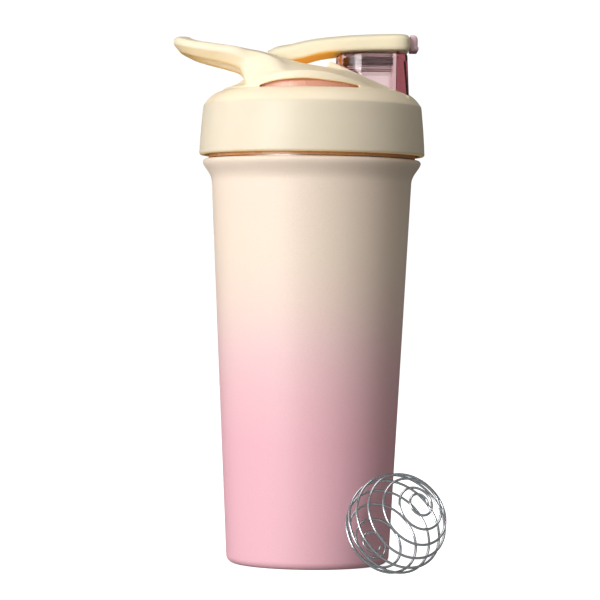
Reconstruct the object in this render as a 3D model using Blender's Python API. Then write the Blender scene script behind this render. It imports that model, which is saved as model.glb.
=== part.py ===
"""Insulated protein shaker bottle with a screw lid, a flip bar with a latch button, a carry loop and a wire
whisk ball.

Metres, +Z up. The origin is the centre of the base on the surface the bottle stands on. The spout is at +X and
the carry loop at -X, and the XZ plane is the plane of symmetry of everything but the threads and the whisk.
"""

import math

import bmesh
import bpy
from mathutils import Vector

MM = 0.001

# Fits
GAP = 0.35 * MM             # between two pieces that rest on each other
RUNNING_GAP = 0.3 * MM      # round the hinge pin
SLIDE_GAP = 0.4 * MM        # beside a piece that slides or swings past another
RING_STEPS = 40             # facets round the bottle
THREAD_ROWS = 6             # rows of facets in one thread pitch

# Bottle body
FOOT_RADIUS = 36.8 * MM     # the wall's taper, carried down to the surface
SHOULDER_RADIUS = 45.3 * MM
SHOULDER_Z = 172.5 * MM
FLANGE_RADIUS = 49.5 * MM
FLANGE_TOP = SHOULDER_Z + 10.5 * MM
FLANGE_EDGE = 1.4 * MM      # height of the rounded upper edge
FOOT_ROUND = 3.6 * MM
SHELL_WALL = 0.7 * MM
VACUUM_GAP = 2.4 * MM
LINER_WALL = 0.8 * MM
LINER_FLOOR_Z = 8.7 * MM
LINER_FLOOR_ROUND = 8.0 * MM
BASE_SHEET = 0.8 * MM
BASE_RIM = 3.4 * MM
BASE_RECESS = 1.0 * MM
BASE_BOSS_RADIUS = 11.0 * MM
BASE_FOOT_WIDTH = 7.0 * MM
PLATE_Z = 5.0 * MM
PLUG_RADIUS = 2.2 * MM
PLUG_HEAD_RADIUS = 4.5 * MM
GETTER_RADIUS = 6.0 * MM
GETTER_PLACE = 16.0 * MM
GETTER_HEIGHT = 1.3 * MM

# Neck and thread
NECK_BORE = 41.6 * MM
NECK_RADIUS = 43.2 * MM
NECK_TOP = SHOULDER_Z + 31.5 * MM
THREAD_DEPTH = 1.1 * MM
THREAD_CLEARANCE = 0.45 * MM
THREAD_PITCH = 4.0 * MM
THREAD_STARTS = 2
THREAD_LOW = SHOULDER_Z + 15.5 * MM
THREAD_HIGH = SHOULDER_Z + 28 * MM

# Lid
LID_BOTTOM = SHOULDER_Z + 12.2 * MM
LID_FOOT_RADIUS = 51.15 * MM
LID_CREASE_RADIUS = 49.4 * MM
LID_CREASE_Z = LID_BOTTOM + 22.6 * MM
LID_WALL = 2.0 * MM
SILL_RADIUS = 41.0 * MM
SILL_Z = LID_BOTTOM + 29.1 * MM
CORE_BOTTOM = LID_BOTTOM - 1.2 * MM
CORE_WALL = 2.1 * MM
CORE_CEILING_Z = LID_BOTTOM + 21.1 * MM
DOME_TOP = LID_BOTTOM + 31.6 * MM
DOME_FOOT_RADIUS = 37.5 * MM
DOME_EDGE_RADIUS = 29.5 * MM
DOME_FOOT_Z = LID_BOTTOM + 26.8 * MM
GASKET_THICKNESS = 1.1 * MM
GASKET_OVERHANG = 0.8 * MM

# Deck between the arms, and the arms
DECK_GAP = 1.3 * MM         # between the dome and the deck over it
DECK_THICKNESS = 2.0 * MM
ARM_GAP = 0.7 * MM          # between the flip bar and each arm
ARM_EDGE_WIDTH = 1.8 * MM
RIM_RADIUS = 41.0 * MM
RIM_LIP = 3.6 * MM
RIM_THICKNESS = 1.5 * MM
ROOF_THICKNESS = 1.6 * MM
RIM_SPREAD = 0.25           # growth of the rim's circle in front of the arches, per length
ARCH_FRONT_X = 26.0 * MM
ARM_FRONT_X = 34.5 * MM

# Spout
SPOUT_REAR_X = 10.5 * MM
SPOUT_FRONT_X = 42.5 * MM
SPOUT_HALF_WIDTH = 16.6 * MM
SPOUT_TOP = LID_BOTTOM + 45.8 * MM
SPOUT_FRONT_SLANT = 0.9 * MM
SPOUT_WALL = 2.5 * MM
SPOUT_FRONT_WALL = 4.7 * MM
SPOUT_CORNER = 5.0 * MM     # front corners
SPOUT_REAR_CORNER = 14.0 * MM
SPOUT_FOOT_Z = LID_BOTTOM + 22.6 * MM
SPOUT_REAR_DROP = 1.4 * MM
COLLAR_REAR_X = 6.5 * MM
COLLAR_REAR_Z = LID_BOTTOM + 42.3 * MM
COLLAR_FRONT_X = 43.0 * MM
COLLAR_FRONT_Z = LID_BOTTOM + 26.5 * MM
COLLAR_ROOF = 2.3 * MM      # height of the collar's roof under its seam plane

# Flip bar, its hinge and its plug
HINGE_X = -23.0 * MM
HINGE_Z = LID_BOTTOM + 41 * MM
PIN_RADIUS = 1.5 * MM
KNUCKLE_RADIUS = 3.5 * MM
BAR_HALF_WIDTH = 19.0 * MM
ARM_INNER_Y = BAR_HALF_WIDTH + ARM_GAP
ARM_EDGE_Y = ARM_INNER_Y + ARM_EDGE_WIDTH
PIN_HALF_LENGTH = ARM_INNER_Y + 2.5 * MM
BAR_FRONT_X = 43.6 * MM
UNDERPLATE_X = (13.0 * MM, 38.2 * MM)
UNDERPLATE_HALF_WIDTH = BAR_HALF_WIDTH - 4.0 * MM
UNDERPLATE_TOP = LID_BOTTOM + 48.4 * MM
SPRING_WIRE = 0.8 * MM
SPRING_TURNS = 4
SPRING_SPREAD = 1.3         # turn spacing in wire diameters
SPRING_CENTRE_Y = BAR_HALF_WIDTH - 7.5 * MM
SPRING_POCKET = 5.6 * MM
SEAL_HEIGHT = 4.0 * MM
SEAL_BOTTOM = LID_BOTTOM + 40.3 * MM
SEAL_WIDTH = 1.6 * MM
STOPPER_BOTTOM = LID_BOTTOM + 37.7 * MM
STOPPER_TOP = LID_BOTTOM + 46.15 * MM

# Latch button
BUTTON_HALF_WIDTH = 10.6 * MM
BUTTON_FRONT_X = 47.6 * MM
BUTTON_DEPTH = 3.9 * MM
BUTTON_BOTTOM = LID_BOTTOM + 47.7 * MM
BUTTON_TOP = LID_BOTTOM + 54.7 * MM
BUTTON_TRAVEL = 1.0 * MM
STEM_REAR_X = 37.6 * MM
STEM_HALF_WIDTH = 8.0 * MM
STEM_HALF_HEIGHT = 1.5 * MM
STEM_Z = LID_BOTTOM + 50.6 * MM
HOOK_HALF_WIDTH = 4.0 * MM
HOOK_REAR_X = 40.1 * MM
HOOK_THICKNESS = 1.0 * MM
HOOK_BOTTOM = LID_BOTTOM + 43.7 * MM
TOOTH_REACH = 0.4 * MM
HOOK_TAPER = 0.1 * MM
TOOTH_HEIGHT = 1.0 * MM
BUTTON_SPRING_RADIUS = 1.3 * MM
BUTTON_SPRING_WIRE = 0.4 * MM
BUTTON_SPRING_LENGTH = 4.0 * MM

# Whisk ball
WHISK_RADIUS = 22.25 * MM
WHISK_WIRE = 1.1 * MM
WHISK_TURNS = 8             # between the two end loops
WHISK_TILT = (10.0, 16.0)   # degrees off the pole where the wire ends, and where its end loop is complete
WHISK_POLE = (0.46, -0.75, 0.48)
WHISK_BEARING = -50.974     # degrees round the bottle from the spout
WHISK_GAP = 2.093 * MM      # between the ball and the bottle, over the foot radius
WHISK_STEPS = 18            # wire points in one turn


# ---------------------------------------------------------------------------------------------------------
# Modelling helpers
# ---------------------------------------------------------------------------------------------------------

def clear_scene():
    for thing in list(bpy.data.objects):
        bpy.data.objects.remove(thing, do_unlink=True)


def make_material(name, colour, roughness, metallic=0.0, transmission=0.0):
    """A Principled material, one for each sub-part."""
    material = bpy.data.materials.new(name)
    material.use_nodes = True
    shader = material.node_tree.nodes["Principled BSDF"]
    shader.inputs["Base Color"].default_value = (*colour, 1.0)
    shader.inputs["Roughness"].default_value = roughness
    shader.inputs["Metallic"].default_value = metallic
    shader.inputs["Transmission Weight"].default_value = transmission
    material.diffuse_color = (*colour, 1.0)
    return material


def add_object(name, bm, material=None, origin=(0.0, 0.0, 0.0)):
    """Turn a bmesh in world coordinates into an object whose origin is the given point."""
    bmesh.ops.recalc_face_normals(bm, faces=bm.faces)
    bmesh.ops.translate(bm, verts=bm.verts, vec=-Vector(origin))
    mesh = bpy.data.meshes.new(name)
    bm.to_mesh(mesh)
    bm.free()
    mesh.shade_smooth()
    mesh.set_sharp_from_angle(angle=math.radians(35))
    thing = bpy.data.objects.new(name, mesh)
    thing.location = origin
    bpy.context.scene.collection.objects.link(thing)
    if material:
        mesh.materials.append(material)
    return thing


def combine(thing, bm, operation, label):
    """Add or cut a shape with a Boolean modifier whose operand is a hidden guide object."""
    guide = add_object(f"{thing.name}.{label}", bm)
    guide.hide_render = True
    guide.display_type = "WIRE"
    modifier = thing.modifiers.new(label, "BOOLEAN")
    modifier.operation = operation
    modifier.solver = "EXACT"
    modifier.object = guide
    return guide


def grid_faces(bm, rows, closed_rows):
    """Quads between rows of vertices that each close on themselves; a row may be one single vertex."""
    pairs = list(zip(rows, rows[1:]))
    if closed_rows:
        pairs.append((rows[-1], rows[0]))
    for low, high in pairs:
        count = max(len(low), len(high))
        for k in range(count):
            ring = [low[k % len(low)], low[(k + 1) % len(low)], high[(k + 1) % len(high)], high[k % len(high)]]
            corners = list(dict.fromkeys(ring))
            bm.faces.new(corners)


def turned(profile, radius_at=None):
    """Turn a profile of (radius, z) about Z. A profile that starts and ends on the axis is a solid one, and any
    other is closed into a ring. radius_at(radius, z, angle) may change the radius round the turn."""
    bm = bmesh.new()
    rows = []
    for radius, z in profile:
        if radius == 0.0:
            rows.append([bm.verts.new((0.0, 0.0, z))])
            continue
        row = []
        for k in range(RING_STEPS):
            angle = 2.0 * math.pi * k / RING_STEPS
            r = radius_at(radius, z, angle) if radius_at else radius
            row.append(bm.verts.new((r * math.cos(angle), r * math.sin(angle), z)))
        rows.append(row)
    on_axis = profile[0][0] == 0.0
    grid_faces(bm, rows, closed_rows=not on_axis)
    return bm


def close_ends(bm, rows):
    """Cap the first and last row, and split every face into triangles."""
    bm.faces.new(rows[0])
    bm.faces.new(rows[-1])
    bm.normal_update()
    bmesh.ops.triangulate(bm, faces=bm.faces)


def lofted(sections):
    """Skin a list of closed sections, each a list of (x, y, z), and close both ends."""
    bm = bmesh.new()
    rows = [[bm.verts.new(point) for point in section] for section in sections]
    grid_faces(bm, rows, closed_rows=False)
    close_ends(bm, rows)
    return bm


def box(x, y, z):
    """A box between two values on each axis."""
    corners = [(x[0], y[0]), (x[1], y[0]), (x[1], y[1]), (x[0], y[1])]
    return lofted([[(a, b, height) for a, b in corners] for height in z])


def rounded_rectangle(x, half_width, front, rear, steps=4):
    """Outline of a rectangle in X and Y, symmetric about Y = 0, with a radius at its front corners and one at
    its rear corners."""
    points = []
    corners = ((1, 1, front, 0), (0, 1, rear, 90), (0, -1, rear, 180), (1, -1, front, 270))
    for end, side, radius, start in corners:
        centre_x = x[end] + (radius if end == 0 else -radius)
        centre_y = side * (half_width - radius)
        for k in range(steps + 1):
            angle = math.radians(start + 90.0 * k / steps)
            points.append((centre_x + radius * math.cos(angle), centre_y + radius * math.sin(angle)))
    return points


def prism(outline, z):
    """Stand an outline of (x, y) points up between two heights."""
    return lofted([[(a, b, height) for a, b in outline] for height in z])


def side_prism(outline, half_width):
    """Carry an outline of (x, z) points across the bottle, from -half_width to half_width in Y."""
    return lofted([[(a, y, c) for a, c in outline] for y in (-half_width, half_width)])


def crosswise_cylinder(x, z, radius, y, steps=20):
    """A cylinder along Y between two values of Y."""
    angles = [2.0 * math.pi * k / steps for k in range(steps)]
    return lofted([[(x + radius * math.cos(a), side, z + radius * math.sin(a)) for a in angles] for side in y])


def bezier(start, start_handle, end_handle, end, steps):
    """Points of a cubic curve, without its first point."""
    points = []
    for k in range(1, steps + 1):
        t = k / steps
        weights = ((1 - t) ** 3, 3 * t * (1 - t) ** 2, 3 * t * t * (1 - t), t ** 3)
        corners = (start, start_handle, end_handle, end)
        points.append(tuple(sum(w * c[axis] for w, c in zip(weights, corners)) for axis in range(2)))
    return points


def arc(centre, radius, start, end, steps):
    """Points of an arc in the (radius, z) plane, angles in degrees."""
    angles = [math.radians(start + (end - start) * k / steps) for k in range(steps + 1)]
    return [(centre[0] + radius * math.cos(a), centre[1] + radius * math.sin(a)) for a in angles]


def offset_inward(profile, distance):
    """The profile moved to its left by a wall's thickness, with mitred corners."""
    moved = []
    for k, point in enumerate(profile):
        normals = []
        for a, b in ((k - 1, k), (k, k + 1)):
            if a < 0 or b >= len(profile):
                continue
            run = Vector(profile[b]) - Vector(profile[a])
            normals.append(Vector((-run.y, run.x)).normalized())
        mean = sum(normals, Vector((0.0, 0.0))).normalized()
        reach = distance / max(mean.dot(normals[0]), 0.5)
        moved.append((point[0] + mean.x * reach, point[1] + mean.y * reach))
    return moved


def interpolate(table, x):
    """Smooth value at x of a table of (x, value) points with growing x."""
    if x <= table[0][0]:
        return table[0][1]
    for k in range(len(table) - 1):
        x0, y0 = table[k]
        x1, y1 = table[k + 1]
        if x <= x1:
            def slope(i):
                a, b = table[max(i - 1, 0)], table[min(i + 1, len(table) - 1)]
                return (b[1] - a[1]) / (b[0] - a[0])
            t = (x - x0) / (x1 - x0)
            run = x1 - x0
            return ((2 * t ** 3 - 3 * t ** 2 + 1) * y0 + (t ** 3 - 2 * t ** 2 + t) * run * slope(k)
                    + (-2 * t ** 3 + 3 * t ** 2) * y1 + (t ** 3 - t ** 2) * run * slope(k + 1))
    return table[-1][1]


def interpolate_straight(table, x):
    """Value at x on the straight runs of a table of (x, value) points with growing x."""
    for (x0, y0), (x1, y1) in zip(table, table[1:]):
        if x <= x1:
            return y0 + (y1 - y0) * (x - x0) / (x1 - x0)
    return table[-1][1]


def tube(name, points, diameter, material, origin=(0.0, 0.0, 0.0), resolution=1):
    """A round wire through the given world points."""
    curve = bpy.data.curves.new(name, "CURVE")
    curve.dimensions = "3D"
    curve.bevel_depth = diameter / 2.0
    curve.bevel_resolution = resolution
    curve.use_fill_caps = True
    spline = curve.splines.new("POLY")
    spline.points.add(len(points) - 1)
    for slot, point in zip(spline.points, points):
        slot.co = (*(Vector(point) - Vector(origin)), 1.0)
    curve.materials.append(material)
    thing = bpy.data.objects.new(name, curve)
    thing.location = origin
    bpy.context.scene.collection.objects.link(thing)
    return thing


# ---------------------------------------------------------------------------------------------------------
# Bottle
# ---------------------------------------------------------------------------------------------------------

def wall_radius(z):
    """Outer radius of the straight tapered wall."""
    return FOOT_RADIUS + (SHOULDER_RADIUS - FOOT_RADIUS) * z / SHOULDER_Z


def shell_profile():
    """Outer profile of the bottle from the foot's contact circle up to the neck opening."""
    foot_centre = (wall_radius(FOOT_ROUND) - FOOT_ROUND, FOOT_ROUND)
    points = arc(foot_centre, FOOT_ROUND, -90, 0, 4)
    points += [(wall_radius(z), z) for z in (SHOULDER_Z * 0.5, SHOULDER_Z)]
    edge_z = FLANGE_TOP - FLANGE_EDGE
    rise = edge_z - SHOULDER_Z
    points += bezier(points[-1], (SHOULDER_RADIUS + 0.1 * MM, SHOULDER_Z + 0.45 * rise),
                     (FLANGE_RADIUS - 0.3 * MM, edge_z - 0.28 * rise), (FLANGE_RADIUS, edge_z), 5)
    points += arc((FLANGE_RADIUS - FLANGE_EDGE, edge_z), FLANGE_EDGE, 0, 90, 2)[1:]
    points.append((NECK_RADIUS + GAP, FLANGE_TOP))
    return points


def shell_bore(z):
    """Inner radius of the outer shell."""
    return wall_radius(z) - SHELL_WALL


def thread_height(z, angle, phase=0.0):
    """Share of the full thread depth at a height and an angle, tapered out at both ends of the thread."""
    lead = THREAD_PITCH * THREAD_STARTS
    place = ((z - THREAD_LOW) / lead - angle / (2.0 * math.pi)) * THREAD_STARTS + phase
    distance = abs(place - round(place))
    ridge = min(max((0.27 - distance) / 0.15, 0.0), 1.0)
    run_out = THREAD_PITCH / 2.0
    ends = min((z - THREAD_LOW) / run_out, (THREAD_HIGH - z) / run_out, 1.0)
    return ridge * max(ends, 0.0)


def thread_levels():
    """Heights of the rows of facets through a thread, from the bottom up."""
    count = round((THREAD_HIGH - THREAD_LOW) / THREAD_PITCH * THREAD_ROWS)
    return [THREAD_LOW + (THREAD_HIGH - THREAD_LOW) * k / count for k in range(count + 1)]


def outer_shell(material):
    outside = shell_profile()
    inside = offset_inward(outside, SHELL_WALL)
    inside[0] = (outside[0][0], SHELL_WALL)
    inside[-1] = (outside[-1][0], FLANGE_TOP - SHELL_WALL)
    return add_object("outer_shell", turned(outside + inside[::-1]), material)


def inner_liner(material):
    """Cup with a floor, a wall parallel to the shell's and a threaded neck."""
    offset = SHELL_WALL + VACUUM_GAP + LINER_WALL
    corner_z = LINER_FLOOR_Z + LINER_FLOOR_ROUND
    corner_x = wall_radius(corner_z) - offset - LINER_FLOOR_ROUND
    bend_z = SHOULDER_Z - 4.0 * MM
    inside = [(0.0, LINER_FLOOR_Z)]
    inside += arc((corner_x, corner_z), LINER_FLOOR_ROUND, -90, 0, 4)
    inside += [(wall_radius(bend_z) - offset, bend_z), (NECK_BORE, SHOULDER_Z + 4.0 * MM)]
    inside.append((NECK_BORE, NECK_TOP - 0.4 * MM))
    inside.append((NECK_BORE + 0.4 * MM, NECK_TOP))
    outside = [(0.0, LINER_FLOOR_Z - LINER_WALL)]
    outside += arc((corner_x, corner_z), LINER_FLOOR_ROUND + LINER_WALL, -90, 0, 4)
    outside += [(wall_radius(bend_z) - offset + LINER_WALL, bend_z), (NECK_RADIUS, SHOULDER_Z + 4.0 * MM)]
    outside += [(NECK_RADIUS, z) for z in thread_levels()]
    outside.append((NECK_RADIUS, NECK_TOP - 0.4 * MM))
    outside.append((NECK_RADIUS - 0.4 * MM, NECK_TOP))

    def threaded(radius, z, angle):
        if radius != NECK_RADIUS:
            return radius
        return radius + THREAD_DEPTH * thread_height(z, angle)

    return add_object("inner_liner", turned(outside + inside[::-1], threaded), material)


def base_cover(material):
    """Stamped disc: a foot ring and a centre boss at the bottom, with a shallow recess between them."""
    rim = wall_radius(FOOT_ROUND) - FOOT_ROUND - GAP
    foot = rim - BASE_FOOT_WIDTH
    step = 1.0 * MM
    below = [(0.0, 0.0), (BASE_BOSS_RADIUS, 0.0), (BASE_BOSS_RADIUS + step, BASE_RECESS),
             (foot - step, BASE_RECESS), (foot, 0.0), (rim, 0.0), (rim, BASE_RIM)]
    above = [(rim - BASE_SHEET, BASE_RIM), (rim - BASE_SHEET, BASE_SHEET), (foot, BASE_SHEET),
             (foot - step, BASE_RECESS + BASE_SHEET), (BASE_BOSS_RADIUS + step, BASE_RECESS + BASE_SHEET),
             (BASE_BOSS_RADIUS, BASE_SHEET), (0.0, BASE_SHEET)]
    return add_object("base_cover", turned(below + above), material)


def vacuum_base_plate(material):
    radius = shell_bore(PLATE_Z) - GAP
    hole = PLUG_RADIUS + GAP
    top = PLATE_Z + BASE_SHEET
    profile = [(hole, PLATE_Z), (radius, PLATE_Z), (radius, top), (hole, top)]
    return add_object("vacuum_base_plate", turned(profile), material)


def vacuum_plug(material):
    head_top = PLATE_Z - GAP
    profile = [(0.0, head_top - BASE_SHEET), (PLUG_HEAD_RADIUS, head_top - BASE_SHEET),
               (PLUG_HEAD_RADIUS, head_top), (PLUG_RADIUS, head_top),
               (PLUG_RADIUS, PLATE_Z + BASE_SHEET), (0.0, PLATE_Z + BASE_SHEET)]
    return add_object("vacuum_plug", turned(profile), material)


def getter_capsule(material):
    low = PLATE_Z + BASE_SHEET + GAP
    corner = GETTER_RADIUS * 0.98
    outline = rounded_rectangle((GETTER_PLACE - GETTER_RADIUS, GETTER_PLACE + GETTER_RADIUS), GETTER_RADIUS,
                                corner, corner)
    return add_object("getter_capsule", prism(outline, (low, low + GETTER_HEIGHT)), material)


# ---------------------------------------------------------------------------------------------------------
# Lid shell: ring, deck, arms with the carry loop, and the spout collar
# ---------------------------------------------------------------------------------------------------------

def lid_ring_outside():
    """Outer profile of the lid's wall and shoulder, from the bottom edge to the sill of the arches."""
    edge = 1.0 * MM
    points = arc((LID_FOOT_RADIUS - edge, LID_BOTTOM + edge), edge, -90, 0, 3)
    points.append((LID_CREASE_RADIUS + 0.15 * MM, LID_CREASE_Z - 1.6 * MM))
    points.append((LID_CREASE_RADIUS, LID_CREASE_Z))
    rise = SILL_Z - LID_CREASE_Z
    points += bezier(points[-1], (LID_CREASE_RADIUS - 2.6 * MM, LID_CREASE_Z + 0.62 * rise),
                     (SILL_RADIUS + 3.4 * MM, SILL_Z - 0.9 * MM), (SILL_RADIUS, SILL_Z), 4)
    return points


def shoulder_line():
    """Lower face of the lid's shoulder, as the two ends (radius, z) that the core lies under."""
    low = (LID_CREASE_RADIUS - LID_WALL, LID_CREASE_Z - 1.0 * MM)
    high = (SILL_RADIUS - 1.0 * MM, SILL_Z - LID_WALL - 0.2 * MM)
    return low, high


def seam_z(x):
    """Height of the inclined seam plane round the spout."""
    share = (x - COLLAR_REAR_X) / (COLLAR_FRONT_X - COLLAR_REAR_X)
    return COLLAR_REAR_Z + (COLLAR_FRONT_Z - COLLAR_REAR_Z) * share


def deck_bottom():
    return DOME_TOP + DECK_GAP


def roof_bottom(x):
    """Height of the underside of the deck, and of the collar's roof in front of it."""
    return min(deck_bottom(), seam_z(x) - COLLAR_ROOF)


def deck_top():
    return deck_bottom() + DECK_THICKNESS


# Height of the arms' inner top edge over the lid's bottom along X, from the loop's end to the collar's front.
ARM_TOP = [(-62.0 * MM, 52.3 * MM), (-54.0 * MM, 50.5 * MM), (-41.5 * MM, 48.8 * MM),
           (-32.5 * MM, 47.4 * MM),
           (-23.6 * MM, 46 * MM), (-12.5 * MM, 42.9 * MM), (-4.3 * MM, 40.8 * MM), (6.0 * MM, 39.1 * MM),
           (17.1 * MM, 36.9 * MM), (30.1 * MM, 31.4 * MM), (42.6 * MM, 25.6 * MM)]
# Height of the arches' outer rim over the lid's bottom along X.
RIM_TOP = [(-27.0 * MM, 32.1 * MM), (-21.5 * MM, 34 * MM), (-15.0 * MM, 35.5 * MM), (-3.0 * MM, 36.2 * MM),
           (5.0 * MM, 35.6 * MM), (13.5 * MM, 33.8 * MM), (28.5 * MM, 29.2 * MM), (36.0 * MM, 27.7 * MM)]
# Loop stations: inner point, outer point, and the heights of the top, the crease and the bottom over the lid's.
LOOP = [((-55.4, 0.0), (-63.3, 0.0), 53.4, 50.2, 46),
        ((-54.1, 8.0), (-61.2, 10.6), 53, 49.6, 45.1),
        ((-50.6, 13.0), (-56.0, 18.0), 51.5, 47.7, 43.5),
        ((-45.6, 15.4), (-48.4, 22.0), 49.7, 46.2, 41.9),
        ((-38.6, 17.6), (-39.8, 24.4), 48.5, 44.9, 40.1),
        ((-32.0, 19.7), (-32.4, 26.4), 47.3, 43.2, 38.1)]


def rim_y(x, radius):
    """Distance from the plane of symmetry to the arches' rim, which lies on a circle about the axis."""
    return math.sqrt(max(radius * radius - x * x, 0.0))


def loop_section(station):
    """Section of the carry loop: a vertical band above a crease, and a chamfer that leans in below it."""
    (inner_x, inner_y), (outer_x, outer_y), top, crease, bottom = station

    def at(share, z):
        return ((inner_x + (outer_x - inner_x) * share) * MM, (inner_y + (outer_y - inner_y) * share) * MM,
                LID_BOTTOM + z * MM)

    return [at(0.0, bottom + 1.0), at(0.0, top - 0.8), at(0.12, top), at(0.85, top), at(1.0, top - 1.0),
            at(1.0, crease), at(0.55, bottom + 0.3), at(0.35, bottom), at(0.1, bottom)]


def arch_section(x):
    """Section of an arm where it spreads into the roof of a side arch with a hanging lip."""
    top = LID_BOTTOM + interpolate(ARM_TOP, x)
    rim = min(LID_BOTTOM + interpolate(RIM_TOP, x), top - 0.3 * MM)
    spread = RIM_RADIUS + max(x - ARCH_FRONT_X, 0.0) * RIM_SPREAD
    outer = rim_y(x, spread)
    inner = rim_y(x, spread - RIM_THICKNESS)
    low = roof_bottom(x)
    roof = min(low, rim - ROOF_THICKNESS)
    lip = min(max(rim - RIM_LIP, SILL_Z - 1.6 * MM), roof - 0.1 * MM)
    blend = min(max((x + 15.0 * MM) / (9.0 * MM), -1.0), 0.0)
    crease_y = ARM_EDGE_Y + 2.5 * MM + (outer - ARM_EDGE_Y - 2.5 * MM) * (0.5 + 0.5 * blend)
    crease_z = top + (rim - top) * (0.5 + 0.5 * blend) * (1.0 + blend) + 4.2 * MM * blend
    return [(x, ARM_INNER_Y, low), (x, ARM_INNER_Y, top - 0.8 * MM), (x, ARM_INNER_Y + 0.8 * MM, top),
            (x, ARM_EDGE_Y, top - 0.1 * MM), (x, crease_y, crease_z), (x, outer, rim), (x, outer, lip),
            (x, inner, lip), (x, inner - 0.2 * MM, roof)]


def arm_sections(side):
    """Sections of one arm from the loop's end to the front, on one side of the plane of symmetry."""
    sections = [loop_section(station) for station in LOOP]
    front = ARM_FRONT_X
    start = -27.0 * MM
    steps = 14
    sections += [arch_section(start + (front - start) * k / steps) for k in range(steps + 1)]
    return [[(a, side * b, c) for a, b, c in section] for section in sections]


def arms():
    """Both arms and the loop's end as one swept body."""
    near = arm_sections(-1.0)
    far = arm_sections(1.0)
    return lofted(near[::-1] + far[1:])


def back_root():
    """Ramp from the shoulder up to the deck under the carry loop, bent to the sill's circle."""
    low = deck_bottom() + 0.1 * MM
    outline = [(-SILL_RADIUS + 1.4 * MM, SILL_Z - 1.5 * MM), (-SILL_RADIUS - 0.2 * MM, SILL_Z - 0.5 * MM),
               (-SILL_RADIUS + 0.8 * MM, SILL_Z + 0.9 * MM), (-36.8 * MM, SILL_Z + 2.0 * MM),
               (-33.0 * MM, SILL_Z + 3.9 * MM), (-31.0 * MM, SILL_Z + 6.1 * MM),
               (-28.0 * MM, deck_top() + 0.2 * MM), (-26.0 * MM, deck_top() - 0.4 * MM),
               (-26.0 * MM, low), (-DOME_EDGE_RADIUS - 0.1 * MM, low),
               (-DOME_FOOT_RADIUS - 0.1 * MM, DOME_FOOT_Z + MM)]
    bm = bmesh.new()
    rows = []
    for y in (-20.5, -14.0, -7.0, 0.0, 7.0, 14.0, 20.5):
        pull = SILL_RADIUS - rim_y(y * MM, SILL_RADIUS)
        row = []
        for x, z in outline:
            share = min(max((-x - 26.0 * MM) / (12.0 * MM), 0.0), 1.0)
            row.append(bm.verts.new((x + pull * share, y * MM, z)))
        rows.append(row)
    grid_faces(bm, rows, closed_rows=False)
    close_ends(bm, rows)
    return bm


def seam_wedge(drop, reach):
    """Everything above the underside of the collar's roof, lowered by a drop, as an outline in (x, z)."""
    rear = COLLAR_REAR_X
    front = COLLAR_FRONT_X + reach
    top = COLLAR_REAR_Z + 20.0 * MM
    return [(rear, seam_z(rear) - COLLAR_ROOF - drop), (front, seam_z(front) - COLLAR_ROOF - drop),
            (front, top), (rear, top)]


def collar():
    """Wedge round the spout with the inclined seam plane on top."""
    low = deck_bottom() + 0.2 * MM
    knee = COLLAR_REAR_X + (seam_z(COLLAR_REAR_X) - COLLAR_ROOF - low) / (
        (COLLAR_REAR_Z - COLLAR_FRONT_Z) / (COLLAR_FRONT_X - COLLAR_REAR_X))
    front = COLLAR_FRONT_X
    outline = [(COLLAR_REAR_X, low), (COLLAR_REAR_X, COLLAR_REAR_Z - 1.6 * MM),
               (COLLAR_REAR_X + 1.0 * MM, seam_z(COLLAR_REAR_X + 1.0 * MM)), (front, COLLAR_FRONT_Z),
               (front + 0.8 * MM, COLLAR_FRONT_Z - 1.0 * MM),
               (front - 0.6 * MM, seam_z(front - 0.6 * MM) - COLLAR_ROOF + 0.3 * MM), (knee, low)]
    return side_prism(outline, ARM_INNER_Y + 0.35 * MM)


def spout_outline(margin, z):
    """Plan outline of the spout at a height, grown by a margin. Its front leans out towards the bottom."""
    lean = SPOUT_FRONT_SLANT * (SPOUT_TOP - z) / (SPOUT_TOP - COLLAR_FRONT_Z)
    x = (SPOUT_REAR_X - margin, SPOUT_FRONT_X + lean + margin)
    return rounded_rectangle(x, SPOUT_HALF_WIDTH + margin, SPOUT_CORNER + margin, SPOUT_REAR_CORNER + margin)


def spout_solid(margin, z):
    return lofted([[(a, b, height) for a, b in spout_outline(margin, height)] for height in z])


def lid_shell(material):
    outside = lid_ring_outside()
    low, high = shoulder_line()
    inside = [(LID_FOOT_RADIUS - LID_WALL, LID_BOTTOM), low, high, (high[0], SILL_Z - 0.5 * MM)]
    shell = add_object("lid_shell", turned(outside + inside[::-1]), material)
    deck = box((-28.6 * MM, COLLAR_REAR_X + 2.0 * MM), (-ARM_INNER_Y - 0.25 * MM, ARM_INNER_Y + 0.25 * MM),
               (deck_bottom() + 0.15 * MM, deck_top()))
    combine(shell, arms(), "UNION", "arms")
    combine(shell, deck, "UNION", "deck")
    combine(shell, back_root(), "UNION", "back_root")
    combine(shell, collar(), "UNION", "collar")
    hole = spout_solid(SLIDE_GAP, (SPOUT_FOOT_Z - 2.0 * MM, SPOUT_TOP + MM))
    combine(shell, hole, "DIFFERENCE", "spout_hole")
    bore_y = PIN_HALF_LENGTH + GAP
    combine(shell, crosswise_cylinder(HINGE_X, HINGE_Z, PIN_RADIUS + RUNNING_GAP, (-bore_y, bore_y)),
            "DIFFERENCE", "pin_bore")
    return shell


# ---------------------------------------------------------------------------------------------------------
# Lid core, gasket and hinge
# ---------------------------------------------------------------------------------------------------------

def bore_outline(margin):
    """Plan outline of the drinking bore, grown by a margin."""
    x = (SPOUT_REAR_X + SPOUT_WALL - margin, SPOUT_FRONT_X - SPOUT_FRONT_WALL + margin)
    return rounded_rectangle(x, SPOUT_HALF_WIDTH - SPOUT_WALL + margin, SPOUT_CORNER - 0.8 * MM + margin,
                             SPOUT_REAR_CORNER - SPOUT_WALL + margin)


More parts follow.
